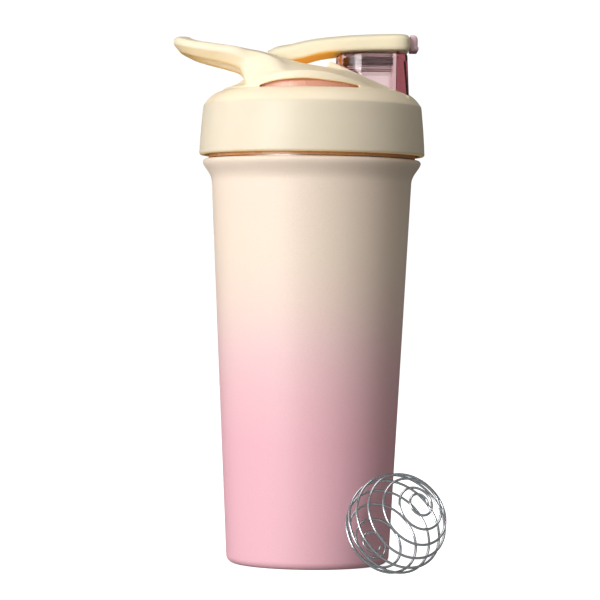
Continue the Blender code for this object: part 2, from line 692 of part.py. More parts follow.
def core_cavity():
    """Hollow of the core: the thread's bore, the ceiling over the gasket and the space under the dome."""
    root = NECK_RADIUS + THREAD_DEPTH + THREAD_CLEARANCE
    foot = DOME_FOOT_RADIUS - CORE_WALL
    top = DOME_TOP - CORE_WALL
    profile = [(0.0, CORE_BOTTOM - 2.0 * MM), (root, CORE_BOTTOM - 2.0 * MM)]
    profile += [(root, z) for z in thread_levels()]
    profile += [(root, CORE_CEILING_Z), (foot + 2.0 * MM, CORE_CEILING_Z), (foot, CORE_CEILING_Z + 2.0 * MM),
                (foot, DOME_FOOT_Z - 0.6 * MM), (DOME_EDGE_RADIUS - 0.7 * CORE_WALL, top), (0.0, top)]

    def threaded(radius, z, angle):
        if radius != root or z > THREAD_HIGH:
            return radius
        return radius - THREAD_DEPTH * thread_height(z, angle, phase=0.5)

    return turned(profile, threaded)


def lid_core(material):
    """Threaded skirt, domed ceiling and spout in one translucent moulding."""
    outer = NECK_RADIUS + THREAD_DEPTH + THREAD_CLEARANCE + CORE_WALL
    low, high = shoulder_line()
    slope = (high[1] - low[1]) / (low[0] - high[0])
    drop = GAP * 1.3
    shoulder_z = low[1] + (low[0] - outer) * slope - drop
    outside = [(0.0, CORE_BOTTOM), (outer, CORE_BOTTOM), (outer, shoulder_z), (high[0], high[1] - drop),
               (DOME_FOOT_RADIUS, DOME_FOOT_Z), (DOME_EDGE_RADIUS, DOME_TOP), (0.0, DOME_TOP)]
    core = add_object("lid_core", turned(outside), material)
    combine(core, side_prism(seam_wedge(GAP, 6.0 * MM), outer), "DIFFERENCE", "seam_clearance")
    combine(core, spout_solid(0.0, (SPOUT_FOOT_Z, SPOUT_TOP)), "UNION", "spout")
    cavity = combine(core, core_cavity(), "DIFFERENCE", "cavity")
    combine(cavity, side_prism(seam_wedge(GAP + CORE_WALL, 6.0 * MM), outer), "DIFFERENCE", "front")
    combine(core, prism(bore_outline(0.0), (SPOUT_FOOT_Z - 3.0 * MM, SPOUT_TOP + MM)), "DIFFERENCE", "bore")
    rear = [(SPOUT_REAR_X - MM, SPOUT_TOP - SPOUT_REAR_DROP), (SPOUT_REAR_X + 3.4 * MM, SPOUT_TOP + 0.3 * MM),
            (SPOUT_REAR_X - MM, SPOUT_TOP + 2.0 * MM)]
    combine(core, side_prism(rear, SPOUT_HALF_WIDTH + 2.0 * MM), "DIFFERENCE", "rear_edge")
    combine(core, latch_slot(), "DIFFERENCE", "latch_slot")
    return core


def latch_slot():
    """Pocket in the spout's front wall for the hook, with a catch over the tooth."""
    hook_front = HOOK_REAR_X + HOOK_THICKNESS
    rear = HOOK_REAR_X - BUTTON_TRAVEL - 0.2 * MM
    mouth = hook_front + TOOTH_REACH + 0.35 * MM
    outline = [(rear, HOOK_BOTTOM - 0.6 * MM), (mouth, HOOK_BOTTOM - 0.6 * MM), (mouth, SPOUT_TOP + MM),
               (rear, SPOUT_TOP + MM)]
    return side_prism(outline, HOOK_HALF_WIDTH + SLIDE_GAP)


def mouth_gasket(material):
    """Flat ring with a rounded section between the neck's rim and the core's ceiling."""
    inner = NECK_BORE - GASKET_OVERHANG
    outer = NECK_RADIUS + GASKET_OVERHANG
    low = NECK_TOP + GAP
    high = low + GASKET_THICKNESS
    edge = 0.3 * MM
    profile = [(inner, low + edge), (inner + edge, low), (outer - edge, low), (outer, low + edge),
               (outer, high - edge), (outer - edge, high), (inner + edge, high), (inner, high - edge)]
    return add_object("mouth_gasket", turned(profile), material)


def hinge_pin(material):
    pin = crosswise_cylinder(HINGE_X, HINGE_Z, PIN_RADIUS, (-PIN_HALF_LENGTH, PIN_HALF_LENGTH))
    return add_object("hinge_pin", pin, material, origin=(HINGE_X, 0.0, HINGE_Z))


def hinge_spring(name, side, material):
    """Torsion spring round the pin: its lower leg lies on the deck and its upper leg under the bar."""
    radius = PIN_RADIUS + RUNNING_GAP + SPRING_WIRE
    steps = 12
    half = SPRING_TURNS * SPRING_WIRE * SPRING_SPREAD / 2.0
    points = [(HINGE_X + 6.0 * MM, side * (SPRING_CENTRE_Y - half), HINGE_Z - radius)]
    for k in range(SPRING_TURNS * steps + 1):
        angle = 2.0 * math.pi * k / steps - math.pi / 2.0
        y = SPRING_CENTRE_Y - half + 2.0 * half * k / (SPRING_TURNS * steps)
        points.append((HINGE_X - radius * math.cos(angle), side * y, HINGE_Z + radius * math.sin(angle)))
    points.append((HINGE_X - 3.4 * MM, side * (SPRING_CENTRE_Y + half), HINGE_Z - radius))
    return tube(name, points, SPRING_WIRE, material, origin=(HINGE_X, 0.0, HINGE_Z))


# ---------------------------------------------------------------------------------------------------------
# Flip bar, stopper and button
# ---------------------------------------------------------------------------------------------------------

# Bar stations: x, half width's share, and the heights of the bottom, the side's upper edge and the crown over
# the lid's bottom.
BAR = [(-20.5, 1.0, 38.9, 44.2, 47.3), (-16.0, 1.0, 39.9, 45.8, 49.4), (-10.6, 1.0, 41.3, 47.2, 50.4),
       (-4.0, 1.0, 42.9, 48.9, 52), (3.1, 1.0, 44.9, 50.2, 53.3), (10.3, 1.0, 46, 51.1, 54.1),
       (17.5, 1.0, 46.65, 52, 54.7), (28.2, 1.0, 47.1, 52.7, 55.2), (36.5, 1.0, 47.25, 53.1, 55.4),
       (40.5, 0.96, 47.3, 53.1, 55.4), (42.6, 0.86, 47.6, 52.5, 55), (43.6, 0.74, 48.7, 51.7, 54)]


def bar_section(station):
    """Section of the bar: flat below, straight sides, and a crowned top."""
    x, share, bottom, edge, crown = station
    half = BAR_HALF_WIDTH * share
    low = LID_BOTTOM + bottom * MM
    side = LID_BOTTOM + edge * MM
    top = LID_BOTTOM + crown * MM
    right = [(half - 1.2 * MM, low), (half, low + 1.2 * MM), (half, side - 0.6 * MM),
             (half * 0.9, side + (top - side) * 0.35), (half * 0.6, side + (top - side) * 0.8),
             (half * 0.25, top)]
    left = [(-y, z) for y, z in right[::-1]]
    return [(x * MM, y, z) for y, z in right + left]


def underplate_outline(margin, drop):
    """Side outline of the underplate, whose lower face follows the bar's, lowered by a drop."""
    rear, front = UNDERPLATE_X[0] - margin, UNDERPLATE_X[1] + 2.0 * margin
    floor = [(station[0] * MM, LID_BOTTOM + station[2] * MM) for station in BAR]
    below = [(x, z - drop) for x, z in floor if rear < x < front]
    start = (rear, interpolate_straight(floor, rear) - drop)
    end = (front, interpolate_straight(floor, front) - drop)
    top = UNDERPLATE_TOP + margin
    return [start] + below + [end, (front, top), (rear, top)]


def flip_bar(material):
    origin = (HINGE_X, 0.0, HINGE_Z)
    bar = add_object("flip_bar", lofted([bar_section(station) for station in BAR]), material, origin=origin)
    half = BAR_HALF_WIDTH
    knuckle = [(HINGE_X + KNUCKLE_RADIUS * math.cos(math.radians(a)),
                HINGE_Z + KNUCKLE_RADIUS * math.sin(math.radians(a))) for a in range(90, 271, 20)]
    knuckle += [(HINGE_X + 3.4 * MM, HINGE_Z - 2.6 * MM), (HINGE_X + 3.4 * MM, HINGE_Z + 4.0 * MM)]
    combine(bar, side_prism(knuckle, half - 0.05 * MM), "UNION", "knuckle")
    combine(bar, crosswise_cylinder(HINGE_X, HINGE_Z, PIN_RADIUS + RUNNING_GAP, (-half - MM, half + MM)),
            "DIFFERENCE", "pin_bore")
    for side in (-1.0, 1.0):
        middle = side * SPRING_CENTRE_Y
        pocket = box((HINGE_X - 6.0 * MM, HINGE_X + 7.0 * MM),
                     (middle - SPRING_POCKET / 2.0, middle + SPRING_POCKET / 2.0),
                     (HINGE_Z - 5.0 * MM, HINGE_Z + KNUCKLE_RADIUS + 0.3 * MM))
        combine(bar, pocket, "DIFFERENCE", "left_spring" if side < 0 else "right_spring")
    rear = BUTTON_FRONT_X - BUTTON_DEPTH - BUTTON_TRAVEL - SLIDE_GAP
    mouth = box((rear, BAR_FRONT_X + 2.0 * MM),
                (-BUTTON_HALF_WIDTH - SLIDE_GAP, BUTTON_HALF_WIDTH + SLIDE_GAP),
                (BUTTON_BOTTOM - 2.0 * MM, BUTTON_TOP + 5.0 * MM))
    combine(bar, mouth, "DIFFERENCE", "button_mouth")
    stem = STEM_HALF_WIDTH + SLIDE_GAP
    pocket = box((STEM_REAR_X - BUTTON_SPRING_LENGTH, rear + MM), (-stem, stem),
                 (STEM_Z - STEM_HALF_HEIGHT - SLIDE_GAP, STEM_Z + STEM_HALF_HEIGHT + SLIDE_GAP))
    combine(bar, pocket, "DIFFERENCE", "stem_pocket")
    combine(bar, side_prism(underplate_outline(GAP, MM), UNDERPLATE_HALF_WIDTH + GAP), "DIFFERENCE",
            "underplate_recess")
    hook = HOOK_HALF_WIDTH + SLIDE_GAP
    slot = box((HOOK_REAR_X - BUTTON_TRAVEL - SLIDE_GAP, rear + MM), (-hook, hook),
               (SPOUT_TOP - MM, STEM_Z))
    combine(bar, slot, "DIFFERENCE", "hook_slot")
    return bar


def bar_underplate(material):
    """Plate that closes the bar from below over the button's stem and spring, and carries the stopper."""
    outline = underplate_outline(0.0, 0.0)
    return add_object("bar_underplate", side_prism(outline, UNDERPLATE_HALF_WIDTH), material,
                      origin=(HINGE_X, 0.0, HINGE_Z))


def stopper(material):
    """Plug body that hangs under the bar into the spout, with a groove for its seal."""
    body = bore_outline(-SLIDE_GAP - SEAL_WIDTH - GAP)
    flange = bore_outline(-SLIDE_GAP - 0.3 * MM)
    plug = add_object("stopper", prism(body, (STOPPER_BOTTOM + MM, STOPPER_TOP)), material,
                      origin=(HINGE_X, 0.0, HINGE_Z))
    rim = bore_outline(-SLIDE_GAP - 0.9 * MM)
    combine(plug, prism(rim, (STOPPER_BOTTOM, SEAL_BOTTOM - GAP)), "UNION", "rim")
    combine(plug, prism(flange, (SEAL_BOTTOM + SEAL_HEIGHT + GAP, SPOUT_TOP - 0.8 * MM)), "UNION", "flange")
    return plug


def spout_seal(material):
    outside = bore_outline(-SLIDE_GAP)
    inside = bore_outline(-SLIDE_GAP - SEAL_WIDTH)
    bm = bmesh.new()
    rows = [[bm.verts.new((a, b, height)) for a, b in outline]
            for outline, height in ((outside, SEAL_BOTTOM), (outside, SEAL_BOTTOM + SEAL_HEIGHT),
                                    (inside, SEAL_BOTTOM + SEAL_HEIGHT), (inside, SEAL_BOTTOM))]
    grid_faces(bm, rows, closed_rows=True)
    return add_object("spout_seal", bm, material, origin=(HINGE_X, 0.0, HINGE_Z))


def latch_button(material):
    """Thumb plate at the bar's front end, with a socket for the latch hook's stem."""
    rear = BUTTON_FRONT_X - BUTTON_DEPTH
    half = BUTTON_HALF_WIDTH
    edge = 0.9 * MM
    profile = [(rear, BUTTON_BOTTOM + 0.5 * MM), (rear + 0.6 * MM, BUTTON_BOTTOM),
               (BUTTON_FRONT_X - 0.4 * MM, BUTTON_BOTTOM), (BUTTON_FRONT_X, BUTTON_BOTTOM + 0.8 * MM),
               (BUTTON_FRONT_X - 0.1 * MM, BUTTON_TOP - 2.2 * MM),
               (BUTTON_FRONT_X - 1.4 * MM, BUTTON_TOP - 0.3 * MM),
               (rear + 1.0 * MM, BUTTON_TOP), (rear, BUTTON_TOP - 0.4 * MM)]
    middle_z = (BUTTON_BOTTOM + BUTTON_TOP) / 2.0
    sections = []
    for y, shrink in ((-half, 0.72), (-half + edge, 0.95), (-half * 0.5, 1.0), (half * 0.5, 1.0),
                      (half - edge, 0.95), (half, 0.72)):
        sections.append([(rear + (a - rear) * shrink, y, middle_z + (c - middle_z) * shrink)
                         for a, c in profile])
    button = add_object("latch_button", lofted(sections), material, origin=(rear, 0.0, STEM_Z))
    reach = STEM_HALF_HEIGHT + GAP
    socket = box((rear - MM, stem_front() + GAP), (-STEM_HALF_WIDTH - GAP, STEM_HALF_WIDTH + GAP),
                 (STEM_Z - reach, STEM_Z + reach))
    combine(button, socket, "DIFFERENCE", "socket")
    return button


def stem_front():
    """How far the latch hook's stem reaches into the thumb plate."""
    return BUTTON_FRONT_X - BUTTON_DEPTH / 2.0


def latch_hook(material):
    """Stem that slides in the bar, with a hook that reaches down into the spout's front wall."""
    stem = box((STEM_REAR_X, stem_front()), (-STEM_HALF_WIDTH, STEM_HALF_WIDTH),
               (STEM_Z - STEM_HALF_HEIGHT, STEM_Z + STEM_HALF_HEIGHT))
    piece = add_object("latch_hook", stem, material, origin=(BUTTON_FRONT_X - BUTTON_DEPTH, 0.0, STEM_Z))
    front = HOOK_REAR_X + HOOK_THICKNESS
    hook = [(HOOK_REAR_X, STEM_Z - 0.5 * MM), (HOOK_REAR_X, HOOK_BOTTOM), (front, HOOK_BOTTOM),
            (front + TOOTH_REACH, HOOK_BOTTOM + TOOTH_HEIGHT * 0.8),
            (front - HOOK_TAPER, HOOK_BOTTOM + TOOTH_HEIGHT), (front, STEM_Z - 0.5 * MM)]
    combine(piece, side_prism(hook, HOOK_HALF_WIDTH), "UNION", "hook")
    return piece


def button_spring(material):
    """Compression spring between the pocket's floor and the stem."""
    low = STEM_REAR_X - BUTTON_SPRING_LENGTH + GAP + BUTTON_SPRING_WIRE
    high = STEM_REAR_X - GAP - BUTTON_SPRING_WIRE / 2.0
    turns = 5
    steps = 10
    radius = BUTTON_SPRING_RADIUS - BUTTON_SPRING_WIRE / 2.0
    points = []
    for k in range(turns * steps + 1):
        angle = 2.0 * math.pi * k / steps
        x = low + (high - low) * k / (turns * steps)
        points.append((x, radius * math.cos(angle), STEM_Z + radius * math.sin(angle)))
    return tube("button_spring", points, BUTTON_SPRING_WIRE, material, resolution=0)


# ---------------------------------------------------------------------------------------------------------
# Whisk ball
# ---------------------------------------------------------------------------------------------------------

def whisk_tilt(turn):
    """Angle off the pole along the wire: a tight loop round each pole, and an even pitch between them."""
    end, loop = WHISK_TILT
    if turn < 1.0:
        return end + (loop - end) * turn
    if turn > WHISK_TURNS + 1.0:
        return 180.0 - loop + (loop - end) * (turn - WHISK_TURNS - 1.0)
    return loop + (180.0 - 2.0 * loop) * (turn - 1.0) / WHISK_TURNS


def whisk_ball(material):
    """One wire wound from pole to pole of a sphere, with a tight loop at both ends."""
    pole = Vector(WHISK_POLE).normalized()
    across = (Vector((1.0, 0.0, 0.0)) - pole * pole.x).normalized()
    third = pole.cross(across)
    bearing = math.radians(WHISK_BEARING)
    away = FOOT_RADIUS + WHISK_GAP + WHISK_RADIUS
    centre = Vector((away * math.cos(bearing), away * math.sin(bearing), WHISK_RADIUS))
    radius = WHISK_RADIUS - WHISK_WIRE / 2.0
    points = []
    for k in range((WHISK_TURNS + 2) * WHISK_STEPS + 1):
        turn = k / WHISK_STEPS
        tilt = math.radians(whisk_tilt(turn))
        angle = 2.0 * math.pi * turn
        points.append(centre + pole * radius * math.cos(tilt)
                      + (across * math.cos(angle) + third * math.sin(angle)) * radius * math.sin(tilt))
    return tube("whisk_ball", points, WHISK_WIRE, material, origin=tuple(centre))


# ---------------------------------------------------------------------------------------------------------
# The whole object
# ---------------------------------------------------------------------------------------------------------

def build():
    clear_scene()
    cream = (0.90, 0.80, 0.62)
    steel = (0.62, 0.62, 0.61)
    outer_shell(make_material("powder_coat", (0.93, 0.66, 0.62), 0.45))
    inner_liner(make_material("liner_steel", steel, 0.3, metallic=1.0))
    base_cover(make_material("base_coat", (0.87, 0.45, 0.55), 0.5))
    vacuum_base_plate(make_material("plate_steel", steel, 0.4, metallic=1.0))
    vacuum_plug(make_material("plug_metal", (0.5, 0.5, 0.5), 0.4, metallic=1.0))
    getter_capsule(make_material("getter_metal", (0.3, 0.3, 0.32), 0.6, metallic=1.0))
    lid_shell(make_material("lid_plastic", cream, 0.45))
    lid_core(make_material("core_plastic", (0.70, 0.42, 0.42), 0.15, transmission=0.7))
    mouth_gasket(make_material("gasket_silicone", (0.75, 0.74, 0.72), 0.6))
    hinge_pin(make_material("pin_steel", steel, 0.25, metallic=1.0))
    spring_wire = make_material("spring_steel", (0.55, 0.55, 0.56), 0.3, metallic=1.0)
    hinge_spring("hinge_spring_left", -1.0, spring_wire)
    hinge_spring("hinge_spring_right", 1.0, spring_wire)
    flip_bar(make_material("bar_plastic", cream, 0.45))
    stopper(make_material("stopper_plastic", (0.66, 0.42, 0.44), 0.2, transmission=0.5))
    spout_seal(make_material("seal_silicone", (0.20, 0.14, 0.15), 0.6))
    bar_underplate(make_material("underplate_plastic", (0.88, 0.74, 0.52), 0.5))
    latch_button(make_material("button_plastic", (0.85, 0.45, 0.58), 0.15))
    latch_hook(make_material("hook_plastic", (0.62, 0.36, 0.44), 0.3))
    button_spring(make_material("button_spring_steel", steel, 0.3, metallic=1.0))
    whisk_ball(make_material("whisk_wire", (0.75, 0.75, 0.75), 0.15, metallic=1.0))


build()
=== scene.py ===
"""Looks of an insulated shaker bottle with a flip-bar lid and a wire whisk ball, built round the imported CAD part.

Shapes are written in millimetres and turned into metres when their mesh is made. +Z is up, the spout is at +X
and the carry loop at -X.
"""

import math

import bmesh
import bpy
from mathutils import Matrix, Vector

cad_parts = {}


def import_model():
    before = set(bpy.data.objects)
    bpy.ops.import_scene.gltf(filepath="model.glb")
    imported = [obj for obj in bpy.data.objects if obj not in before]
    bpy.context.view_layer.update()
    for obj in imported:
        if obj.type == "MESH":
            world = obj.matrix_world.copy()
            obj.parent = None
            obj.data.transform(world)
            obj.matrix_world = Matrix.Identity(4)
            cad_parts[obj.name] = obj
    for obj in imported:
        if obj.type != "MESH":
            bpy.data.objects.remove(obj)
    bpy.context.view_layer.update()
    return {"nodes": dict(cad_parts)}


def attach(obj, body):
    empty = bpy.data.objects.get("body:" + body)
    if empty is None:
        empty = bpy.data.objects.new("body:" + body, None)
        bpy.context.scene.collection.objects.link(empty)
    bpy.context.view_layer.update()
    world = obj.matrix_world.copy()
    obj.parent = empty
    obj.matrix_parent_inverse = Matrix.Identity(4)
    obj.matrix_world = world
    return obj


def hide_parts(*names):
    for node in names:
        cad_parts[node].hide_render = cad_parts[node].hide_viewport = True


MM = 0.001
RING = 192                  # steps round the bottle
BORE_STEPS = 48             # steps round a crosswise bore
CORNER_STEPS = 10           # steps in a rounded corner
RELAX = 0.5                 # share of the way a point moves in one round of smoothing
GAP = 0.35                  # between two pieces that rest on each other

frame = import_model()

# Wall of the bottle
FOOT_RADIUS = 36.8
SHOULDER_RADIUS = 45.3
SHOULDER_Z = 172.5
FLANGE_RADIUS = 49.5
FLANGE_TOP = 183.0
FLANGE_EDGE = 1.4
FOOT_ROUND = 3.6
SHELL_WALL = 0.7
LINER_OFFSET = 3.9
LINER_WALL = 0.8
LINER_FLOOR = 8.7
LINER_CORNER = 8.0
LINER_FLAT = 12.0           # radius of the floor's flat middle
NECK_BORE = 41.6
NECK_RADIUS = 43.2
NECK_TOP = 204.0
THREAD_DEPTH = 1.1
THREAD_CLEARANCE = 0.45
THREAD_LEAD = 8.0
THREAD_STARTS = 2
THREAD_STEP = 0.4           # height of a row of the thread's mesh
THREAD_LOW = 188.0
THREAD_HIGH = 200.5

# Lid
LID_BOTTOM = 184.7
LID_FOOT_RADIUS = 51.15
CREASE_RADIUS = 49.4
CREASE_Z = 207.3
SILL_RADIUS = 41.0
SILL_Z = 213.8
CORE_BOTTOM = 183.5
CORE_WALL = 2.1
DOME_TOP = 216.3
DOME_FOOT = (37.5, 211.5)
DOME_EDGE = 29.5
DRUM_RADIUS = 38.6
DRUM_TOP = 217.2
DECK = (217.6, 219.6)
ARM_INNER = 19.7
ARM_OUTER = 21.6
RIM_RADIUS = 41.0
RIM_THICKNESS = 1.5
RIM_LIP = 3.6
RIM_SPREAD = 0.25           # growth of the rim's circle in front of the arches, per length
ROOF_THICKNESS = 1.6
ARCH_FRONT_X = 26.0
CREASE_END_X = -11.0        # where the crease under the arm's band has run out
COLLAR_REAR = (6.5, 227.0)
COLLAR_FRONT = (43.0, 211.2)
COLLAR_ROOF = 2.3
SPOUT_X = (10.5, 42.5)
SPOUT_HALF = 16.6
SPOUT_TOP = 230.5
SPOUT_WALL = 2.5
SPOUT_FRONT_WALL = 4.7
SPOUT_SLANT = 0.9
SPOUT_CORNERS = (14.0, 5.0)  # rear and front, outside
BORE_CORNERS = (11.5, 4.2)
HINGE = (-23.0, 225.7)
PIN_RADIUS = 1.5
PIN_PLAY = 0.3
KNUCKLE_RADIUS = 3.5
SEAL = (225.5, 228.9)
BUTTON_HALF = 10.6

# Whisk ball
WHISK_CENTRE = (38.5, -47.5, 22.25)
WHISK_RADIUS = 22.25
WHISK_POLE = (0.46, -0.75, 0.48)
WHISK_TURNS = 10
WHISK_STEPS = 72            # points in a turn
WIRE_DIAMETER = 1.1
WIRE_FACETS = 4


# ---------------------------------------------------------------------------------------------------------
# Mesh helpers
# ---------------------------------------------------------------------------------------------------------

def raw_object(name, bm):
    """An object from a bmesh in millimetres."""
    bmesh.ops.recalc_face_normals(bm, faces=bm.faces)
    bmesh.ops.scale(bm, verts=bm.verts, vec=(MM, MM, MM))
    mesh = bpy.data.meshes.new(name)
    bm.to_mesh(mesh)
    bm.free()
    thing = bpy.data.objects.new(name, mesh)
    bpy.context.scene.collection.objects.link(thing)
    return thing


def skin(bm, rows, close_rows=False, caps=False):
    """Quads between closed rows of points."""
    made = [[bm.verts.new(point) for point in row] for row in rows]
    pairs = list(zip(made, made[1:]))
    if close_rows:
        pairs.append((made[-1], made[0]))
    for low, high in pairs:
        for k in range(max(len(low), len(high))):
            a, b = low[k % len(low)], low[(k + 1) % len(low)]
            c, d = high[(k + 1) % len(high)], high[k % len(high)]
            bm.faces.new(list(dict.fromkeys((a, b, c, d))))
    if caps:
        for row in (made[0], made[-1]):
            bm.faces.new(row)
    return bm


def turned(profile, radius_at=None):
    """Turn a profile of (radius, z) about Z; it starts and ends on the axis, or closes into a ring."""
    rows = []
    for radius, z in profile:
        if radius == 0.0:
            rows.append([(0.0, 0.0, z)])
            continue
        row = []
        for k in range(RING):
            angle = 2.0 * math.pi * k / RING
            r = radius_at(radius, z, angle) if radius_at else radius
            row.append((r * math.cos(angle), r * math.sin(angle), z))
        rows.append(row)
    return skin(bmesh.new(), rows, close_rows=profile[0][0] != 0.0)


def prism(outline, heights):
    return skin(bmesh.new(), [[(x, y, z) for x, y in outline] for z in heights], caps=True)


def side_prism(outline, half_width):
    return skin(bmesh.new(), [[(x, y, z) for x, z in outline] for y in (-half_width, half_width)], caps=True)


def box(x, y, z):
    return prism([(x[0], y[0]), (x[1], y[0]), (x[1], y[1]), (x[0], y[1])], z)


def crosswise_cylinder(x, z, radius, y):
    angles = [2.0 * math.pi * k / BORE_STEPS for k in range(BORE_STEPS)]
    rows = [[(x + radius * math.cos(a), side, z + radius * math.sin(a)) for a in angles] for side in y]
    return skin(bmesh.new(), rows, caps=True)


def rounded_rectangle(x, half_width, rear, front):
    """Plan outline symmetric about Y = 0 with one corner radius at the rear and one at the front."""
    points = []
    corners = ((x[1] - front, half_width - front, front, 0), (x[0] + rear, half_width - rear, rear, 90),
               (x[0] + rear, rear - half_width, rear, 180), (x[1] - front, front - half_width, front, 270))
    for cx, cy, radius, start in corners:
        for k in range(CORNER_STEPS + 1):
            angle = math.radians(start + 90.0 * k / CORNER_STEPS)
            points.append((cx + radius * math.cos(angle), cy + radius * math.sin(angle)))
    return points


def arc(centre, radius, start, end, steps):
    angles = [math.radians(start + (end - start) * k / steps) for k in range(steps + 1)]
    return [(centre[0] + radius * math.cos(a), centre[1] + radius * math.sin(a)) for a in angles]


def bezier(start, start_handle, end_handle, end, steps):
    points = []
    for k in range(1, steps + 1):
        t = k / steps
        weights = ((1 - t) ** 3, 3 * t * (1 - t) ** 2, 3 * t * t * (1 - t), t ** 3)
        corners = (start, start_handle, end_handle, end)
        points.append(tuple(sum(w * c[i] for w, c in zip(weights, corners)) for i in range(2)))
    return points


def spline(keys, points, x):
    """Smooth values at x through tuples given at growing keys."""
    if x <= keys[0]:
        return points[0]
    if x >= keys[-1]:
        return points[-1]
    k = max(i for i in range(len(keys) - 1) if keys[i] <= x)
    run = keys[k + 1] - keys[k]
    t = (x - keys[k]) / run
    made = []
    for i in range(len(points[0])):
        def slope(j):
            a, b = max(j - 1, 0), min(j + 1, len(keys) - 1)
            return (points[b][i] - points[a][i]) / (keys[b] - keys[a])
        made.append((2 * t ** 3 - 3 * t ** 2 + 1) * points[k][i] + (t ** 3 - 2 * t ** 2 + t) * run * slope(k)
                    + (-2 * t ** 3 + 3 * t ** 2) * points[k + 1][i] + (t ** 3 - t ** 2) * run * slope(k + 1))
    return tuple(made)


def curve_of(table, x):
    return spline([row[0] for row in table], [(row[1],) for row in table], x)[0]


def straight_of(table, x):
    """Value at x on the straight runs through a table of points at growing x."""
    for (x0, y0), (x1, y1) in zip(table, table[1:]):
        if x <= x1:
            return y0 + (y1 - y0) * (x - x0) / (x1 - x0)
    return table[-1][1]


def applied(thing):
    """The object's mesh with its modifiers applied."""
    graph = bpy.context.evaluated_depsgraph_get()
    mesh = bpy.data.meshes.new_from_object(thing.evaluated_get(graph))
    thing.modifiers.clear()
    thing.data = mesh
    return thing


def remeshed(thing, voxel, rounds):
    """Fuse overlapping shapes into one skin and relax it, which leaves moulded fillets at the joins."""
    modifier = thing.modifiers.new("fuse", "REMESH")
    modifier.mode = "VOXEL"
    modifier.voxel_size = voxel * MM
    modifier.adaptivity = 0.0
    smooth = thing.modifiers.new("relax", "SMOOTH")
    smooth.factor = RELAX
    smooth.iterations = rounds
    return applied(thing)


def subtract(thing, guide):
    """Cut one object out of another, and delete the one that cuts."""
    modifier = thing.modifiers.new("cut", "BOOLEAN")
    modifier.operation = "DIFFERENCE"
    modifier.solver = "MANIFOLD"
    modifier.object = guide
    applied(thing)
    bpy.data.objects.remove(guide, do_unlink=True)


def cut(thing, bm):
    subtract(thing, raw_object("guide", bm))


def joined(name, shapes):
    """One object from several closed bmeshes."""
    whole = bmesh.new()
    for bm in shapes:
        bmesh.ops.recalc_face_normals(bm, faces=bm.faces)
        mesh = bpy.data.meshes.new("part")
        bm.to_mesh(mesh)
        bm.free()
        whole.from_mesh(mesh)
        bpy.data.meshes.remove(mesh)
    bmesh.ops.scale(whole, verts=whole.verts, vec=(MM, MM, MM))
    mesh = bpy.data.meshes.new(name)
    whole.to_mesh(mesh)
    whole.free()
    thing = bpy.data.objects.new(name, mesh)
    bpy.context.scene.collection.objects.link(thing)
    return thing


def place(thing, material, body, slot, *nodes, sharp=40.0):
    """Finish a piece: shading, material, the body it rides on and the nodes it stands for."""
    if thing.type == "MESH":
        thing.data.shade_smooth()
        thing.data.set_sharp_from_angle(angle=math.radians(sharp))
    thing.data.materials.clear()
    thing.data.materials.append(material)
    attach(thing, body)
    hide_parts(*nodes)


def wire(name, points, diameter, material, body, slot, *nodes):
    curve = bpy.data.curves.new(name, "CURVE")
    curve.dimensions = "3D"
    curve.bevel_depth = diameter / 2.0 * MM
    curve.bevel_resolution = WIRE_FACETS
    curve.use_fill_caps = True
    line = curve.splines.new("POLY")
    line.points.add(len(points) - 1)
    for curve_point, point in zip(line.points, points):
        curve_point.co = (point[0] * MM, point[1] * MM, point[2] * MM, 1.0)
    thing = bpy.data.objects.new(name, curve)
    bpy.context.scene.collection.objects.link(thing)
    place(thing, material, body, slot, *nodes)


# ---------------------------------------------------------------------------------------------------------
# Materials
# ---------------------------------------------------------------------------------------------------------

